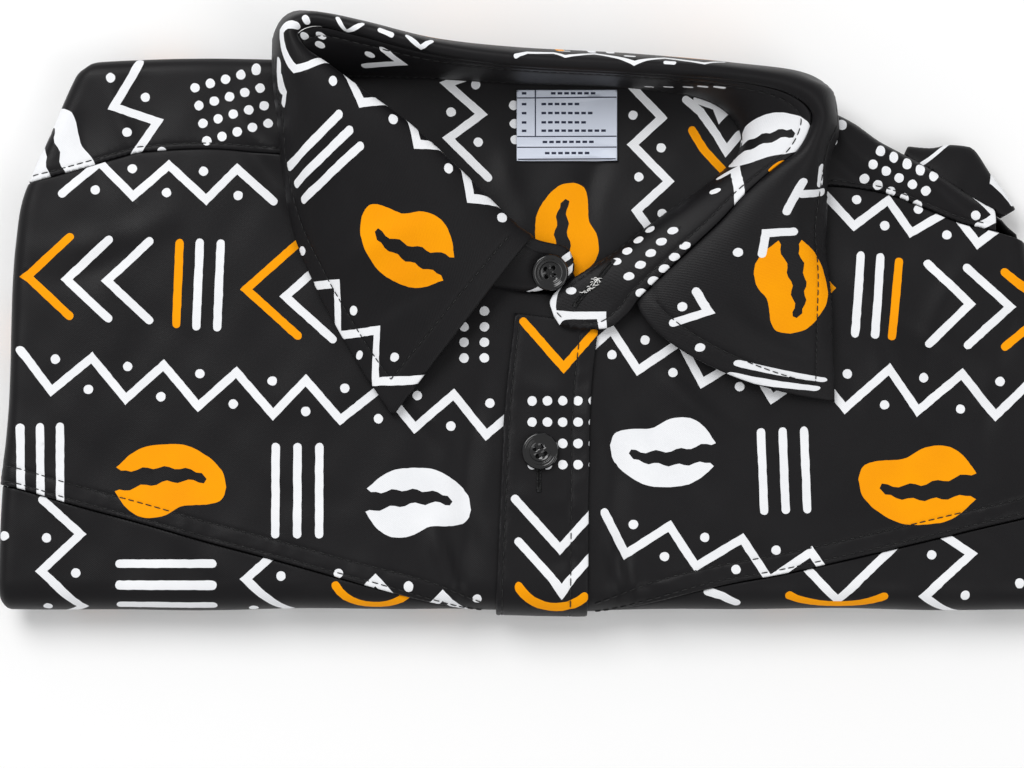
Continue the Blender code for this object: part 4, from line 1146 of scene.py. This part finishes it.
# %% Label
LABEL_X, LABEL_Y = (-8.4, 26.4), (51.4, 76.1)
LABEL_RULES = """
yarn rule -8.2 73.3 26.2 73.5
yarn rule -8.2 60 26.2 60
yarn rule -8.2 56.2 26.2 56.2
yarn rule -1.9 60 -1.9 76
yarn rule -7.9 52 25.9 52
"""
LABEL_DASHES = [(-6.6, 74.9, 1), (3.5, 74.9, 7), (0.2, 71.2, 6), (0.2, 68.1, 8), (0.2, 64.9, 7), (0.2, 62.0, 10),
                (-6.6, 71.2, 1), (-6.6, 68.1, 1), (-6.6, 64.9, 1), (-6.6, 62.0, 1), (0.6, 58.1, 8), (1.4, 54.2, 7)]


def rule(x1, y1, x2, y2, width=0.42):
    """A thin straight line with square ends."""
    way = np.array([x2 - x1, y2 - y1]) / math.hypot(x2 - x1, y2 - y1) * width / 2
    side = np.array([-way[1], way[0]])
    ends = (np.array([x1, y1]), np.array([x2, y2]))
    return [[tuple(ends[0] + side), tuple(ends[0] - side), tuple(ends[1] - side), tuple(ends[1] + side)]]


MOTIFS["rule"] = rule
INKS["yarn"] = 1
label_print = chart(LABEL_RULES)
for x, y, many in LABEL_DASHES:
    for k in range(many):
        label_print += [("yarn", shape) for shape in rule(x + 2.3 * k, y, x + 2.3 * k + 1.6, y, 0.85)]
label_satin = cotton("white_satin_ribbon_with_a_blue_cast", linear("#dfe5f2"), linear("#cdd5e6"), 0.42, 0.5, 0.02, 0.25)
label_yarn = cotton("dark_navy_yarn_woven_in", linear("#262c44"), linear("#1b2036"), 0.6, 0.3, 0.0, 0.3)
LABEL_MATERIALS = (label_satin, label_yarn, label_yarn, label_satin)


def label_middle(x, y):
    lifted = 0.7 * np.exp(-(((x - 26) / 5) ** 2 + ((y - 52) / 4) ** 2))
    return GAP + CLOTH + 0.42 + 0.35 + 0.14 * np.sin(x * 0.32 + y * 0.1) * (y - 50) / 26 + lifted


panel_flat = flat_grid(30, 22, (constant(LABEL_X[0]), constant(LABEL_X[1])), (constant(LABEL_Y[0]), constant(LABEL_Y[1])))
add_cloth("care_label_ribbon", *panel_flat, lay, label_middle, label_print, half=0.22, round_over=0.3,
          slot="woven_label", nodes=["care_label"], rests_on=["back_inside_cloth"], materials=LABEL_MATERIALS)

# %% [markdown]
# ## Thread
# Every seam is held by lockstitch in black polyester thread, about eight stitches to the inch: 3.1 mm each.
# A stitch is a short length of thread that rises from the cloth, runs along it and dives back in. Each
# row of them sits in the soft groove that its own tension pulls into the cloth.

# %% Thread and rows of stitches
PITCH = 3.1               # from one stitch to the next
BETWEEN = 0.5             # where the thread is under the cloth
THREAD = 0.2              # half the thickness of the thread


def thread_of(name, colour, dark):
    """Twisted thread: its plies wind round at a slant, with a dull gleam."""
    material = cotton(name, linear(colour), linear(dark), 0.45, 0.5, 0.0, 0.8, 3.0)
    material.node_tree.nodes["Mapping"].inputs["Rotation"].default_value = (0, 0, math.radians(60))
    return material


black_thread = thread_of("black_polyester_thread", "#101011", "#060607")
white_fray = thread_of("frayed_white_cotton_ends", "#f4f4f2", "#dcdcda")


def threads(name, runs, radius, material, slot="printed_cotton", sides=6):
    """Many short threads as one mesh, each a tube through its own marks with tapered ends."""
    runs = np.asarray(runs, float)
    many, marks = runs.shape[:2]
    way = np.gradient(runs, axis=1)
    way /= np.linalg.norm(way, axis=-1, keepdims=True)
    side = np.cross(way, (0.05, 0.03, 1.0))
    side /= np.linalg.norm(side, axis=-1, keepdims=True)
    up = np.cross(side, way)
    taper = radius * np.sqrt(1 - 0.8 * np.abs(np.linspace(-1, 1, marks)) ** 5)[None, :, None, None]
    turn = 2 * math.pi * np.arange(sides) / sides
    round_it = (np.cos(turn)[:, None] * side[:, :, None] + np.sin(turn)[:, None] * up[:, :, None])
    points = (runs[:, :, None] + taper * round_it).reshape(-1, 3)
    walked = np.cumsum(np.linalg.norm(np.diff(runs, axis=1, prepend=runs[:, :1]), axis=-1), axis=1)
    uv = np.stack(np.broadcast_arrays((walked + 5.0 * np.arange(many)[:, None])[:, :, None],
                                      turn * radius), axis=-1).reshape(-1, 2)
    first = (np.arange(many)[:, None, None] * marks + np.arange(marks - 1)[None, :, None]) * sides
    k = np.arange(sides)[None, None, :]
    after = (k + 1) % sides
    quads = np.stack([first + k, first + after, first + sides + after, first + sides + k], axis=-1).reshape(-1, 4)
    start = np.arange(many)[:, None] * marks * sides
    caps = np.concatenate([start + np.arange(sides)[::-1], start + (marks - 1) * sides + np.arange(sides)])
    faces = [tuple(map(int, f)) for f in quads] + [tuple(map(int, f)) for f in caps]
    made = add_mesh(name, points, faces, uv, None, [material])
    sew_in(made, slot)
    print(f"{name}: {many} threads")
    return made


def stitches(surface, line, pitch=PITCH, between=BETWEEN, rise=0.2):
    """Rows of stitches along a flat line, as runs of marks. surface lays (x, y, out) in space."""
    line = np.asarray(line, float)
    walked = np.concatenate([[0], np.cumsum(np.hypot(*np.diff(line, axis=0).T))])
    starts = np.arange(0.4, walked[-1] - pitch, pitch)
    s = np.linspace(0, 1, 6)
    at = starts[:, None] + s[None, :] * (pitch - between)
    x, y = np.interp(at, walked, line[:, 0]), np.interp(at, walked, line[:, 1])
    out = np.broadcast_to(rise - 0.4 * (2 * s - 1) ** 6, at.shape)
    return list(surface(x.ravel(), y.ravel(), out.ravel()).reshape(len(starts), len(s), 3))


def on_panel(middle, half=HALF_CLOTH):
    return lambda x, y, out: lay(x, y, middle(x, y) + half + out)


# %% Stitch the seams of the panels
REACH = WRAP_END * EDGE_ROUND
runs = []
for offset in CHEST_ROWS:
    runs += stitches(on_panel(over_seam(seam_right)), row_by(seam_right, -184, -17, offset))
    runs += stitches(on_panel(over_seam(seam_left)), row_by(seam_left, 18, 178, offset))
threads("chest_seam_stitches", runs, THREAD, black_thread)
runs = stitches(on_panel(beside_seam(top_right, 1)), row_by(top_right, -176, -86, SHOULDER_ROW))
runs += stitches(on_panel(beside_seam(top_left, 1)), row_by(top_left, 78, 155, SHOULDER_ROW))
threads("shoulder_seam_stitches", runs, THREAD, black_thread)
surface = on_panel(placket_middle, 0.55)
runs = [run for row in placket_rows for run in stitches(surface, row)]
threads("placket_stitches", runs, THREAD, black_thread)

# %% Stitch the collar
def on_collar(place, middle):
    return lambda a, b, out: place(a, b, middle(a, b) + 0.62 + out)


on_leaf, on_stand = on_collar(leaf_place, leaf_middle), on_collar(stand_place, stand_middle)
threads("collar_leaf_stitches", stitches(on_leaf, leaf_row), THREAD, black_thread, "collar_cotton")
runs = [run for row in stand_rows for run in stitches(on_stand, row)]
threads("collar_stand_stitches", runs, THREAD, black_thread, "collar_cotton")

# %% [markdown]
# ## Buttonholes and buttons
# A buttonhole is a slit with a lip of close cross threads down each side and a bar tack at its end. The
# one on the stand has been handled, and white ends of its cut cotton fray out. The buttons are polished
# black resin: a wide round rim, a thin raised ring, and a dish with four holes.

# %% Buttonholes
def buttonhole(surface, start, end, lip=0.75, close=0.5, tacks=(1,)):
    """Cross threads down both lips of a slit between two flat places, and tacks at its ends."""
    start, end = np.asarray(start, float), np.asarray(end, float)
    length = np.hypot(*(end - start))
    way = (end - start) / length
    side = np.array([-way[1], way[0]])
    made = []
    s = np.linspace(0, 1, 6)
    for sign in (-1, 1):
        for k in range(int(length / close)):
            stray = uneven.uniform(-0.12, 0.12)
            across = sign * (0.12 + (lip + stray) * s)
            flat = start + way * (k + 0.5 + stray) * close + side * across[:, None]
            made.append(surface(flat[:, 0], flat[:, 1], 0.34 - 0.6 * (2 * s - 1) ** 4 * 0.8))
    for t in tacks:
        for k in range(4):
            across = (lip + 0.2) * (2 * s - 1)
            flat = start + way * (length * t + (k - 1.5) * 0.4) + side * across[:, None]
            made.append(surface(flat[:, 0], flat[:, 1], 0.5 - 0.6 * (2 * s - 1) ** 4))
    return made


runs = buttonhole(surface, (-0.8, -47.0), (-0.8, -62.6))
threads("placket_buttonhole", runs, 0.2, black_thread)
hole_start, hole_end = np.array([356.0, 4.6]), np.array([377.0, 8.4])
runs = buttonhole(on_stand, hole_start, hole_end, tacks=(0, 1))
threads("collar_buttonhole", runs, 0.2, black_thread, "collar_cotton")
frays = []
for k in range(24):
    s = np.linspace(0, 1, 6)
    share = uneven.choice((0.40, 0.46, 0.62)) + uneven.uniform(-0.07, 0.07)
    at = hole_start + (hole_end - hole_start) * share + np.array([0, uneven.uniform(-0.8, 0.8)])
    way = uneven.uniform(0, 2 * math.pi)
    long, bend = uneven.uniform(0.7, 2.2), uneven.uniform(-2.4, 2.4)
    flat = at + long * np.stack([s * math.cos(way) - bend * s * (s - 1) * math.sin(way),
                                 s * math.sin(way) + bend * s * (s - 1) * math.cos(way)], axis=1)
    frays.append(on_stand(flat[:, 0], flat[:, 1], 0.2 + 0.6 * np.sin(s * math.pi) + 0.06 * (k % 5)))
threads("buttonhole_fray", frays, 0.15, white_fray, "collar_cotton", 5)


# %% Button resin
def resin_of(name):
    """Polished polyester resin: almost black, faintly clouded, with fine rubbing marks in the gloss."""
    material = bpy.data.materials.new(name)
    material.use_nodes = True
    tree = material.node_tree
    shader = tree.nodes["Principled BSDF"]
    place = add_node(tree, "UVMap", {"uv_map": "cloth"})
    cloud = add_node(tree, "TexNoise", None, {"Vector": place.outputs[0], "Scale": 1 / (2.5 * MM), "Detail": 3.0})
    tones = add_node(tree, "MixRGB", None, {"Fac": cloud.outputs["Fac"], "Color1": linear("#060607"),
                                            "Color2": linear("#121214")})
    tree.links.new(tones.outputs[0], shader.inputs["Base Color"])
    rubbed = add_node(tree, "TexNoise", None, {"Vector": place.outputs[0], "Scale": 1 / (0.5 * MM), "Detail": 2.0})
    gloss = add_node(tree, "MapRange", None, {"Value": rubbed.outputs["Fac"], "To Min": 0.07, "To Max": 0.17})
    tree.links.new(gloss.outputs[0], shader.inputs["Roughness"])
    relief = add_node(tree, "Bump", None, {"Height": rubbed.outputs["Fac"], "Strength": 0.12, "Distance": 0.02 * MM})
    tree.links.new(relief.outputs[0], shader.inputs["Normal"])
    shader.inputs["IOR"].default_value = 1.56
    return material


resin = resin_of("polished_black_resin")

# %% Turn the buttons
BUTTON_RADIUS, BUTTON_TALL = 6.35, 2.6
HOLE, HOLE_AT = 0.82, 1.35
face_line = smooth_line([0, 2.2, 3.0, 3.45, 3.75, 3.95, 4.15, 4.4, 5.0, 5.5, 5.9, 6.2, 6.35],
                        [1.30, 1.30, 1.36, 1.56, 1.86, 1.98, 1.9, 1.96, 2.5, 2.6, 2.48, 2.1, 1.45])
back_line = smooth_line([0, 4.6, 5.6, 6.2, 6.35], [0.0, 0.02, 0.3, 0.9, 1.45])
FACE_RINGS = (1.0, 2.9, 3.3, 3.5, 3.7, 3.85, 4.0, 4.15, 4.35, 4.7, 5.0, 5.25, 5.5, 5.7, 5.9, 6.05, 6.2, 6.3)


def seat_of(node):
    """The middle of a round flat solid and the way it faces."""
    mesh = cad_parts[node].data
    points = np.zeros(len(mesh.vertices) * 3)
    mesh.vertices.foreach_get("co", points)
    points = points.reshape(-1, 3) / MM
    middle = points.mean(axis=0)
    facing = np.linalg.svd(points - middle)[2][2]
    facing *= math.copysign(1.0, facing[2])
    heights = (points - middle) @ facing
    return middle + facing * heights.min(), facing


def add_button(name, node, turned, crossed):
    """A button cut flat with its holes, raised to its profile, and sewn on with thread."""
    seat, facing = seat_of(node)
    first = np.cross((0, 1, 0), facing)
    first /= np.linalg.norm(first)
    second = np.cross(facing, first)
    c, s = math.cos(math.radians(turned)), math.sin(math.radians(turned))
    axes = np.stack([first * c + second * s, second * c - first * s, facing])
    ring = lambda r, n, x=0.0, y=0.0: [(x + r * math.cos(2 * math.pi * k / n), y + r * math.sin(2 * math.pi * k / n))
                                       for k in range(n)]
    points, faces = ring(BUTTON_RADIUS, 96), [list(range(96))]
    holes = [(HOLE_AT * a, HOLE_AT * b) for a, b in ((1, 1), (-1, 1), (-1, -1), (1, -1))]
    for x, y in holes:
        faces.append(list(range(len(points), len(points) + 24)))
        points += ring(HOLE, 24, x, y)
        points += ring(HOLE + 0.16, 24, x, y)
    for r in FACE_RINGS[1:]:
        points += ring(r, 96)
    made, _, cut, _, _, inside = geometry.delaunay_2d_cdt([Vector(p) for p in points], [], faces, 1, 1e-5, True)
    flat = np.array([tuple(p) for p in made])
    triangles = [tuple(t) for t, ids in zip(cut, inside) if list(ids) == [0]]
    far = np.hypot(flat[:, 0], flat[:, 1])
    to_hole = np.min([np.hypot(flat[:, 0] - x, flat[:, 1] - y) for x, y in holes], axis=0)
    top = face_line(far) - 0.16 * (to_hole < HOLE + 0.05)
    above = np.column_stack([flat, top])
    below = np.column_stack([flat, back_line(far)])
    rim = far > BUTTON_RADIUS - 1e-3
    lower = np.where(rim, np.arange(len(flat)), len(flat) + np.arange(len(flat)))
    all_faces = triangles + [tuple(int(lower[v]) for v in reversed(t)) for t in triangles]
    for h in faces[1:]:
        h = [int(np.argmin(np.hypot(*(flat - points[i]).T))) for i in h]
        for a, b in zip(h, h[1:] + h[:1]):
            all_faces.append((a, int(lower[a]), int(lower[b]), b))
    shape = np.concatenate([above, below]) @ axes + seat
    button = add_mesh(name, shape, all_faces, np.concatenate([flat, flat + 20]), None, [resin])
    sew_in(button, "button_resin", node)
    s = np.linspace(0, 1, 8)
    pairs = ((0, 2), (1, 3)) if crossed else ((0, 1), (2, 3))
    runs = []
    for number, (i, j) in enumerate(pairs):
        for shift in (-0.26, 0.0, 0.26):
            a, b = np.array(holes[i]), np.array(holes[j])
            side = np.array([-(b - a)[1], (b - a)[0]]) / np.hypot(*(b - a)) * shift
            line = a + side + (b - a) * s[:, None]
            high = 1.28 + 0.36 * (1 - (2 * s - 1) ** 6) - 0.9 * np.abs(2 * s - 1) ** 10 + 0.22 * number * crossed
            runs.append(np.column_stack([line, high]) @ axes + seat)
    threads(name + "_thread", runs, 0.17, black_thread, "button_resin")
    return button


add_button("front_button", "button_front", 20, False)
add_button("collar_button", "button_collar", 8, True)

# %% [markdown]
# ## The sleeve's fold
# One fold of the left sleeve stands out behind the shoulder: a loose loop of one ply.

# %% Sleeve
SLEEVE = ("edge_x edge_y out_x out_y low high", [
    (126.6, 54.0, 128.0, 57.4, 7.4, 12.4), (131.6, 50.8, 136.0, 56.8, 6.8, 13.0),
    (137.6, 46.8, 143.0, 58.0, 6.2, 13.6), (143.6, 42.8, 149.6, 57.4, 6.0, 13.8),
    (149.6, 38.8, 156.6, 48.0, 6.2, 13.6), (155.6, 35.6, 161.6, 41.4, 6.6, 13.2),
    (160.6, 32.8, 165.2, 35.4, 7.2, 12.6)])
sleeve_lines = lines_of(SLEEVE)
sleeve_t = np.linspace(0, len(SLEEVE[1]) - 1, 90)
s = {name: line(sleeve_t)[:, None] for name, line in sleeve_lines.items()}
turn = np.linspace(-math.pi / 2, math.pi / 2, 41)[None, :]
sleeve_points = np.stack([s["edge_x"] + (s["out_x"] - s["edge_x"]) * np.cos(turn),
                          s["edge_y"] + (s["out_y"] - s["edge_y"]) * np.cos(turn),
                          (s["low"] + s["high"]) / 2 + (s["high"] - s["low"]) / 2 * np.sin(turn)], axis=-1)
sleeve_place, sleeve_grid, sleeve_along, sleeve_lengths = drawn_surface(sleeve_points, -1.0)
add_cloth("sleeve_left_cloth", *sleeve_grid(30, 24), sleeve_place, lambda a, b: 0 * a, chart(SLEEVE_PRINT),
          half=0.45, nodes=["sleeve_left"], rests_on=["folded_layers"])

# %% [markdown]
# ## The hidden layers
# The back, sides and tails are folded behind. Only their edges show, as a stack of rounded folds between
# the fronts and the table, and the flat underside when the packet is lifted.

# %% Side of the stack
SETTLE = 0.7
TUCK = 13.0               # how far the lowest fold turns in under the packet
STACK_OUT = -1.0
LAYERS_PRINT = "\n".join(
    [f"white zigzag {60 * k + 4} 9 {60 * k + 34} 9 5 9 0" for k in range(19)]
    + [f"{('orange', 'white')[k % 2]} bars {60 * k + 47} 10 12 90 3 5.4" for k in range(19)]
    + [f"{('white', 'orange')[k % 2]} arrow {60 * k + 12} 28 12 0 43" for k in range(19)])
LAYER_FOLDS = 5           # folds that show in the stack under the panels' turned edge


def stack_rim(step):
    """Points round the packet where its top turns down, with directions outwards."""
    x_line = np.linspace(-1, 1, int(372 / step))
    y_line = np.linspace(-1, 1, int(200 / step))
    around = []
    for k in range(len(x_line) - 1):
        around.append((x_line[k], -1))
    for k in range(len(y_line) - 1):
        around.append((1, y_line[k]))
    for k in range(len(x_line) - 1):
        around.append((-x_line[k], 1))
    for k in range(len(y_line) - 1):
        around.append((-1, -y_line[k]))
    u, v = np.array(around).T
    low = BOTTOM_FOLD + FOLD_ROUND
    y = np.where(v < 0, low, 60.0)
    x = np.zeros(len(u))
    for _ in range(6):
        left, right = left_side(y) + EDGE_ROUND, right_side(y) - EDGE_ROUND
        x = (left + right) / 2 + u * (right - left) / 2
        high = shoulder_line(x) - EDGE_ROUND
        y = (low + high) / 2 + v * (high - low) / 2
    reach = math.radians(60)
    over_x = np.where(abs(u) > 1 - 1e-6, np.sign(u) * reach * EDGE_ROUND, 0)
    over_y = np.where(v > 1 - 1e-6, reach * EDGE_ROUND, np.where(v < -1 + 1e-6, -reach * FOLD_ROUND, 0))
    return turn_at(x + over_x, y + over_y)


rim_x, rim_y, rim_way_x, rim_way_y, rim_turn = stack_rim(2.4)
rim_along, rim_drop = round_of(rim_way_y)
rim_top = packet_top(rim_x, rim_y) - SETTLE
rim_walk = np.concatenate([[0], np.cumsum(np.hypot(np.diff(rim_x), np.diff(rim_y)))])
print(f"edge of the stack: {rim_walk[-1]:.0f} mm round")


def stack_ring(reach_x, reach_y, z):
    return np.stack([rim_x + rim_way_x * reach_x, rim_y + rim_way_y * reach_y, z], axis=1)


rings = []
for angle in (60, 75, 90, 105, 120, 135):
    bend = math.radians(angle)
    rings.append(stack_ring((EDGE_ROUND - SETTLE) * math.sin(bend), (rim_along - SETTLE) * math.sin(bend),
                            rim_top - (rim_drop - SETTLE) * (1 - math.cos(bend))))
stack_top = rings[-1][:, 2]
for k in range(1, 61):
    share = k / 60
    z = stack_top * (1 - share)
    fold = share * LAYER_FOLDS
    hollow = (1 - abs(math.sin(math.pi * fold))) ** 2
    wander = 0.5 * np.sin(rim_walk * 0.031 + 1.7 * int(fold)) + 0.3 * np.sin(rim_walk * 0.083 + 2.9 * int(fold))
    pull_in = 0.72 - 0.06 * wander - 0.20 * hollow - 0.18 * share**3
    rings.append(stack_ring(EDGE_ROUND * pull_in, rim_along * (pull_in - 0.04), z))
stack = np.array(rings)
tuck = np.linspace(0.15, 1, 8)[:, None]
last_x, last_y = (stack[-1][:, k] - (rim_x, rim_y)[k] for k in range(2))
under = [np.stack([stack[-1][:, 0] - TUCK * t * rim_way_x, stack[-1][:, 1] - TUCK * t * rim_way_y,
                   0 * rim_x], axis=1) for t in np.linspace(0.1, 1, 8)]
stack = np.concatenate([stack, under])
stack[:, :, 2] = np.maximum(stack[:, :, 2], HALF_CLOTH)
start = len(rim_x) * 5 // 8
sections = np.roll(stack.transpose(1, 0, 2), -start, axis=0)
sections = np.concatenate([sections, sections[:1]])
stack_place, stack_grid, stack_along, stack_down = drawn_surface(sections, STACK_OUT, 0.5, 61)
print(f"band of the layers: {stack_along[-1]:.0f} mm round, {stack_down.min():.0f} to {stack_down.max():.0f} mm deep")
add_cloth("folded_layers_cloth", *stack_grid(int(stack_along[-1] / 3.0), 34), stack_place, lambda a, b: 0 * a,
          chart(LAYERS_PRINT), nodes=["folded_layers"])

# %% Underside
UNDER_PRINT = "\n".join(
    [f"white zigzag -176 {y} 166 {y - 4} 19 14.5" for y in (44, -28)]
    + [f"{('white', 'orange')[k % 2]} cowrie {-146 + 72 * k} 12 37 {(0, 180)[k % 2]}" for k in range(5)]
    + [f"{('orange', 'white')[k % 2]} bars {-110 + 72 * k} 10 27 90 3 7" for k in range(4)]
    + [f"white arrow {-150 + 66 * k} -64 20 {(0, 180)[k % 2]} 43" for k in range(5)]
    + [f"orange arrow {-136 + 66 * k} -64 20 {(0, 180)[k % 2]} 43" for k in range(5)])
UNDER_INSET = 9.0
panel_flat = flat_grid(90, 46, (lambda y: left_side(y) + UNDER_INSET, lambda y: right_side(y) - UNDER_INSET),
                       (constant(BOTTOM_FOLD + UNDER_INSET + 2), lambda x: shoulder_line(x) - UNDER_INSET))


def under_place(x, y, out):
    return np.stack([x, y, 0.95 + HALF_CLOTH - out], axis=-1)


add_cloth("underside_cloth", *panel_flat, under_place, lambda x, y: 0 * x, chart(UNDER_PRINT),
          nodes=["folded_layers"], rests_on=["folded_layers_cloth"])

# %% [markdown]
# ## Studio
# A pale table and soft light from all round, as in a shop photograph, with one broad lamp above.

# %% Table, light and camera
floor_mesh = bpy.data.meshes.new("table")
FLOOR_Z = -0.05 * MM
floor_mesh.from_pydata([(-4, -4, FLOOR_Z), (4, -4, FLOOR_Z), (4, 4, FLOOR_Z), (-4, 4, FLOOR_Z)], [], [(0, 1, 2, 3)])
floor = bpy.data.objects.new("table", floor_mesh)
bpy.context.scene.collection.objects.link(floor)
paper = bpy.data.materials.new("white_backdrop_paper")
paper.use_nodes = True
paper_shader = paper.node_tree.nodes["Principled BSDF"]
paper_shader.inputs["Base Color"].default_value = linear("#fbfbfb")
paper_shader.inputs["Roughness"].default_value = 0.9
floor_mesh.materials.append(paper)

world = bpy.data.worlds.new("studio")
bpy.context.scene.world = world
world.use_nodes = True
sky = world.node_tree.nodes["Background"]
sky.inputs["Color"].default_value = (1.0, 1.0, 1.0, 1.0)
sky.inputs["Strength"].default_value = 0.56


def add_lamp(name, at, size, power):
    lamp = bpy.data.lights.new(name, "AREA")
    lamp.shape = "DISK"
    lamp.size = size
    lamp.energy = power
    made = bpy.data.objects.new(name, lamp)
    made.location = at
    made.rotation_euler = Vector(at).to_track_quat("Z", "Y").to_euler()
    bpy.context.scene.collection.objects.link(made)
    return made


add_lamp("soft_lamp", (-0.7, 0.9, 1.5), 1.1, 19.0)
add_lamp("fill_lamp", (0.9, -0.6, 1.4), 1.0, 5.0)

ELEVATION = math.radians(86.0)
DISTANCE = 1.1
AIM = Vector((-0.010, -0.0259, 0.018))
camera_data = bpy.data.cameras.new("camera")
camera_data.lens = 112.15
camera_data.sensor_width = 36.0
camera_data.clip_start = 0.01
camera = bpy.data.objects.new("camera", camera_data)
back = Vector((0, -math.cos(ELEVATION), math.sin(ELEVATION)))
camera.location = AIM + back * DISTANCE
camera.rotation_euler = back.to_track_quat("Z", "Y").to_euler()
bpy.context.scene.collection.objects.link(camera)
bpy.context.scene.camera = camera
bpy.context.scene.view_settings.view_transform = "Standard"
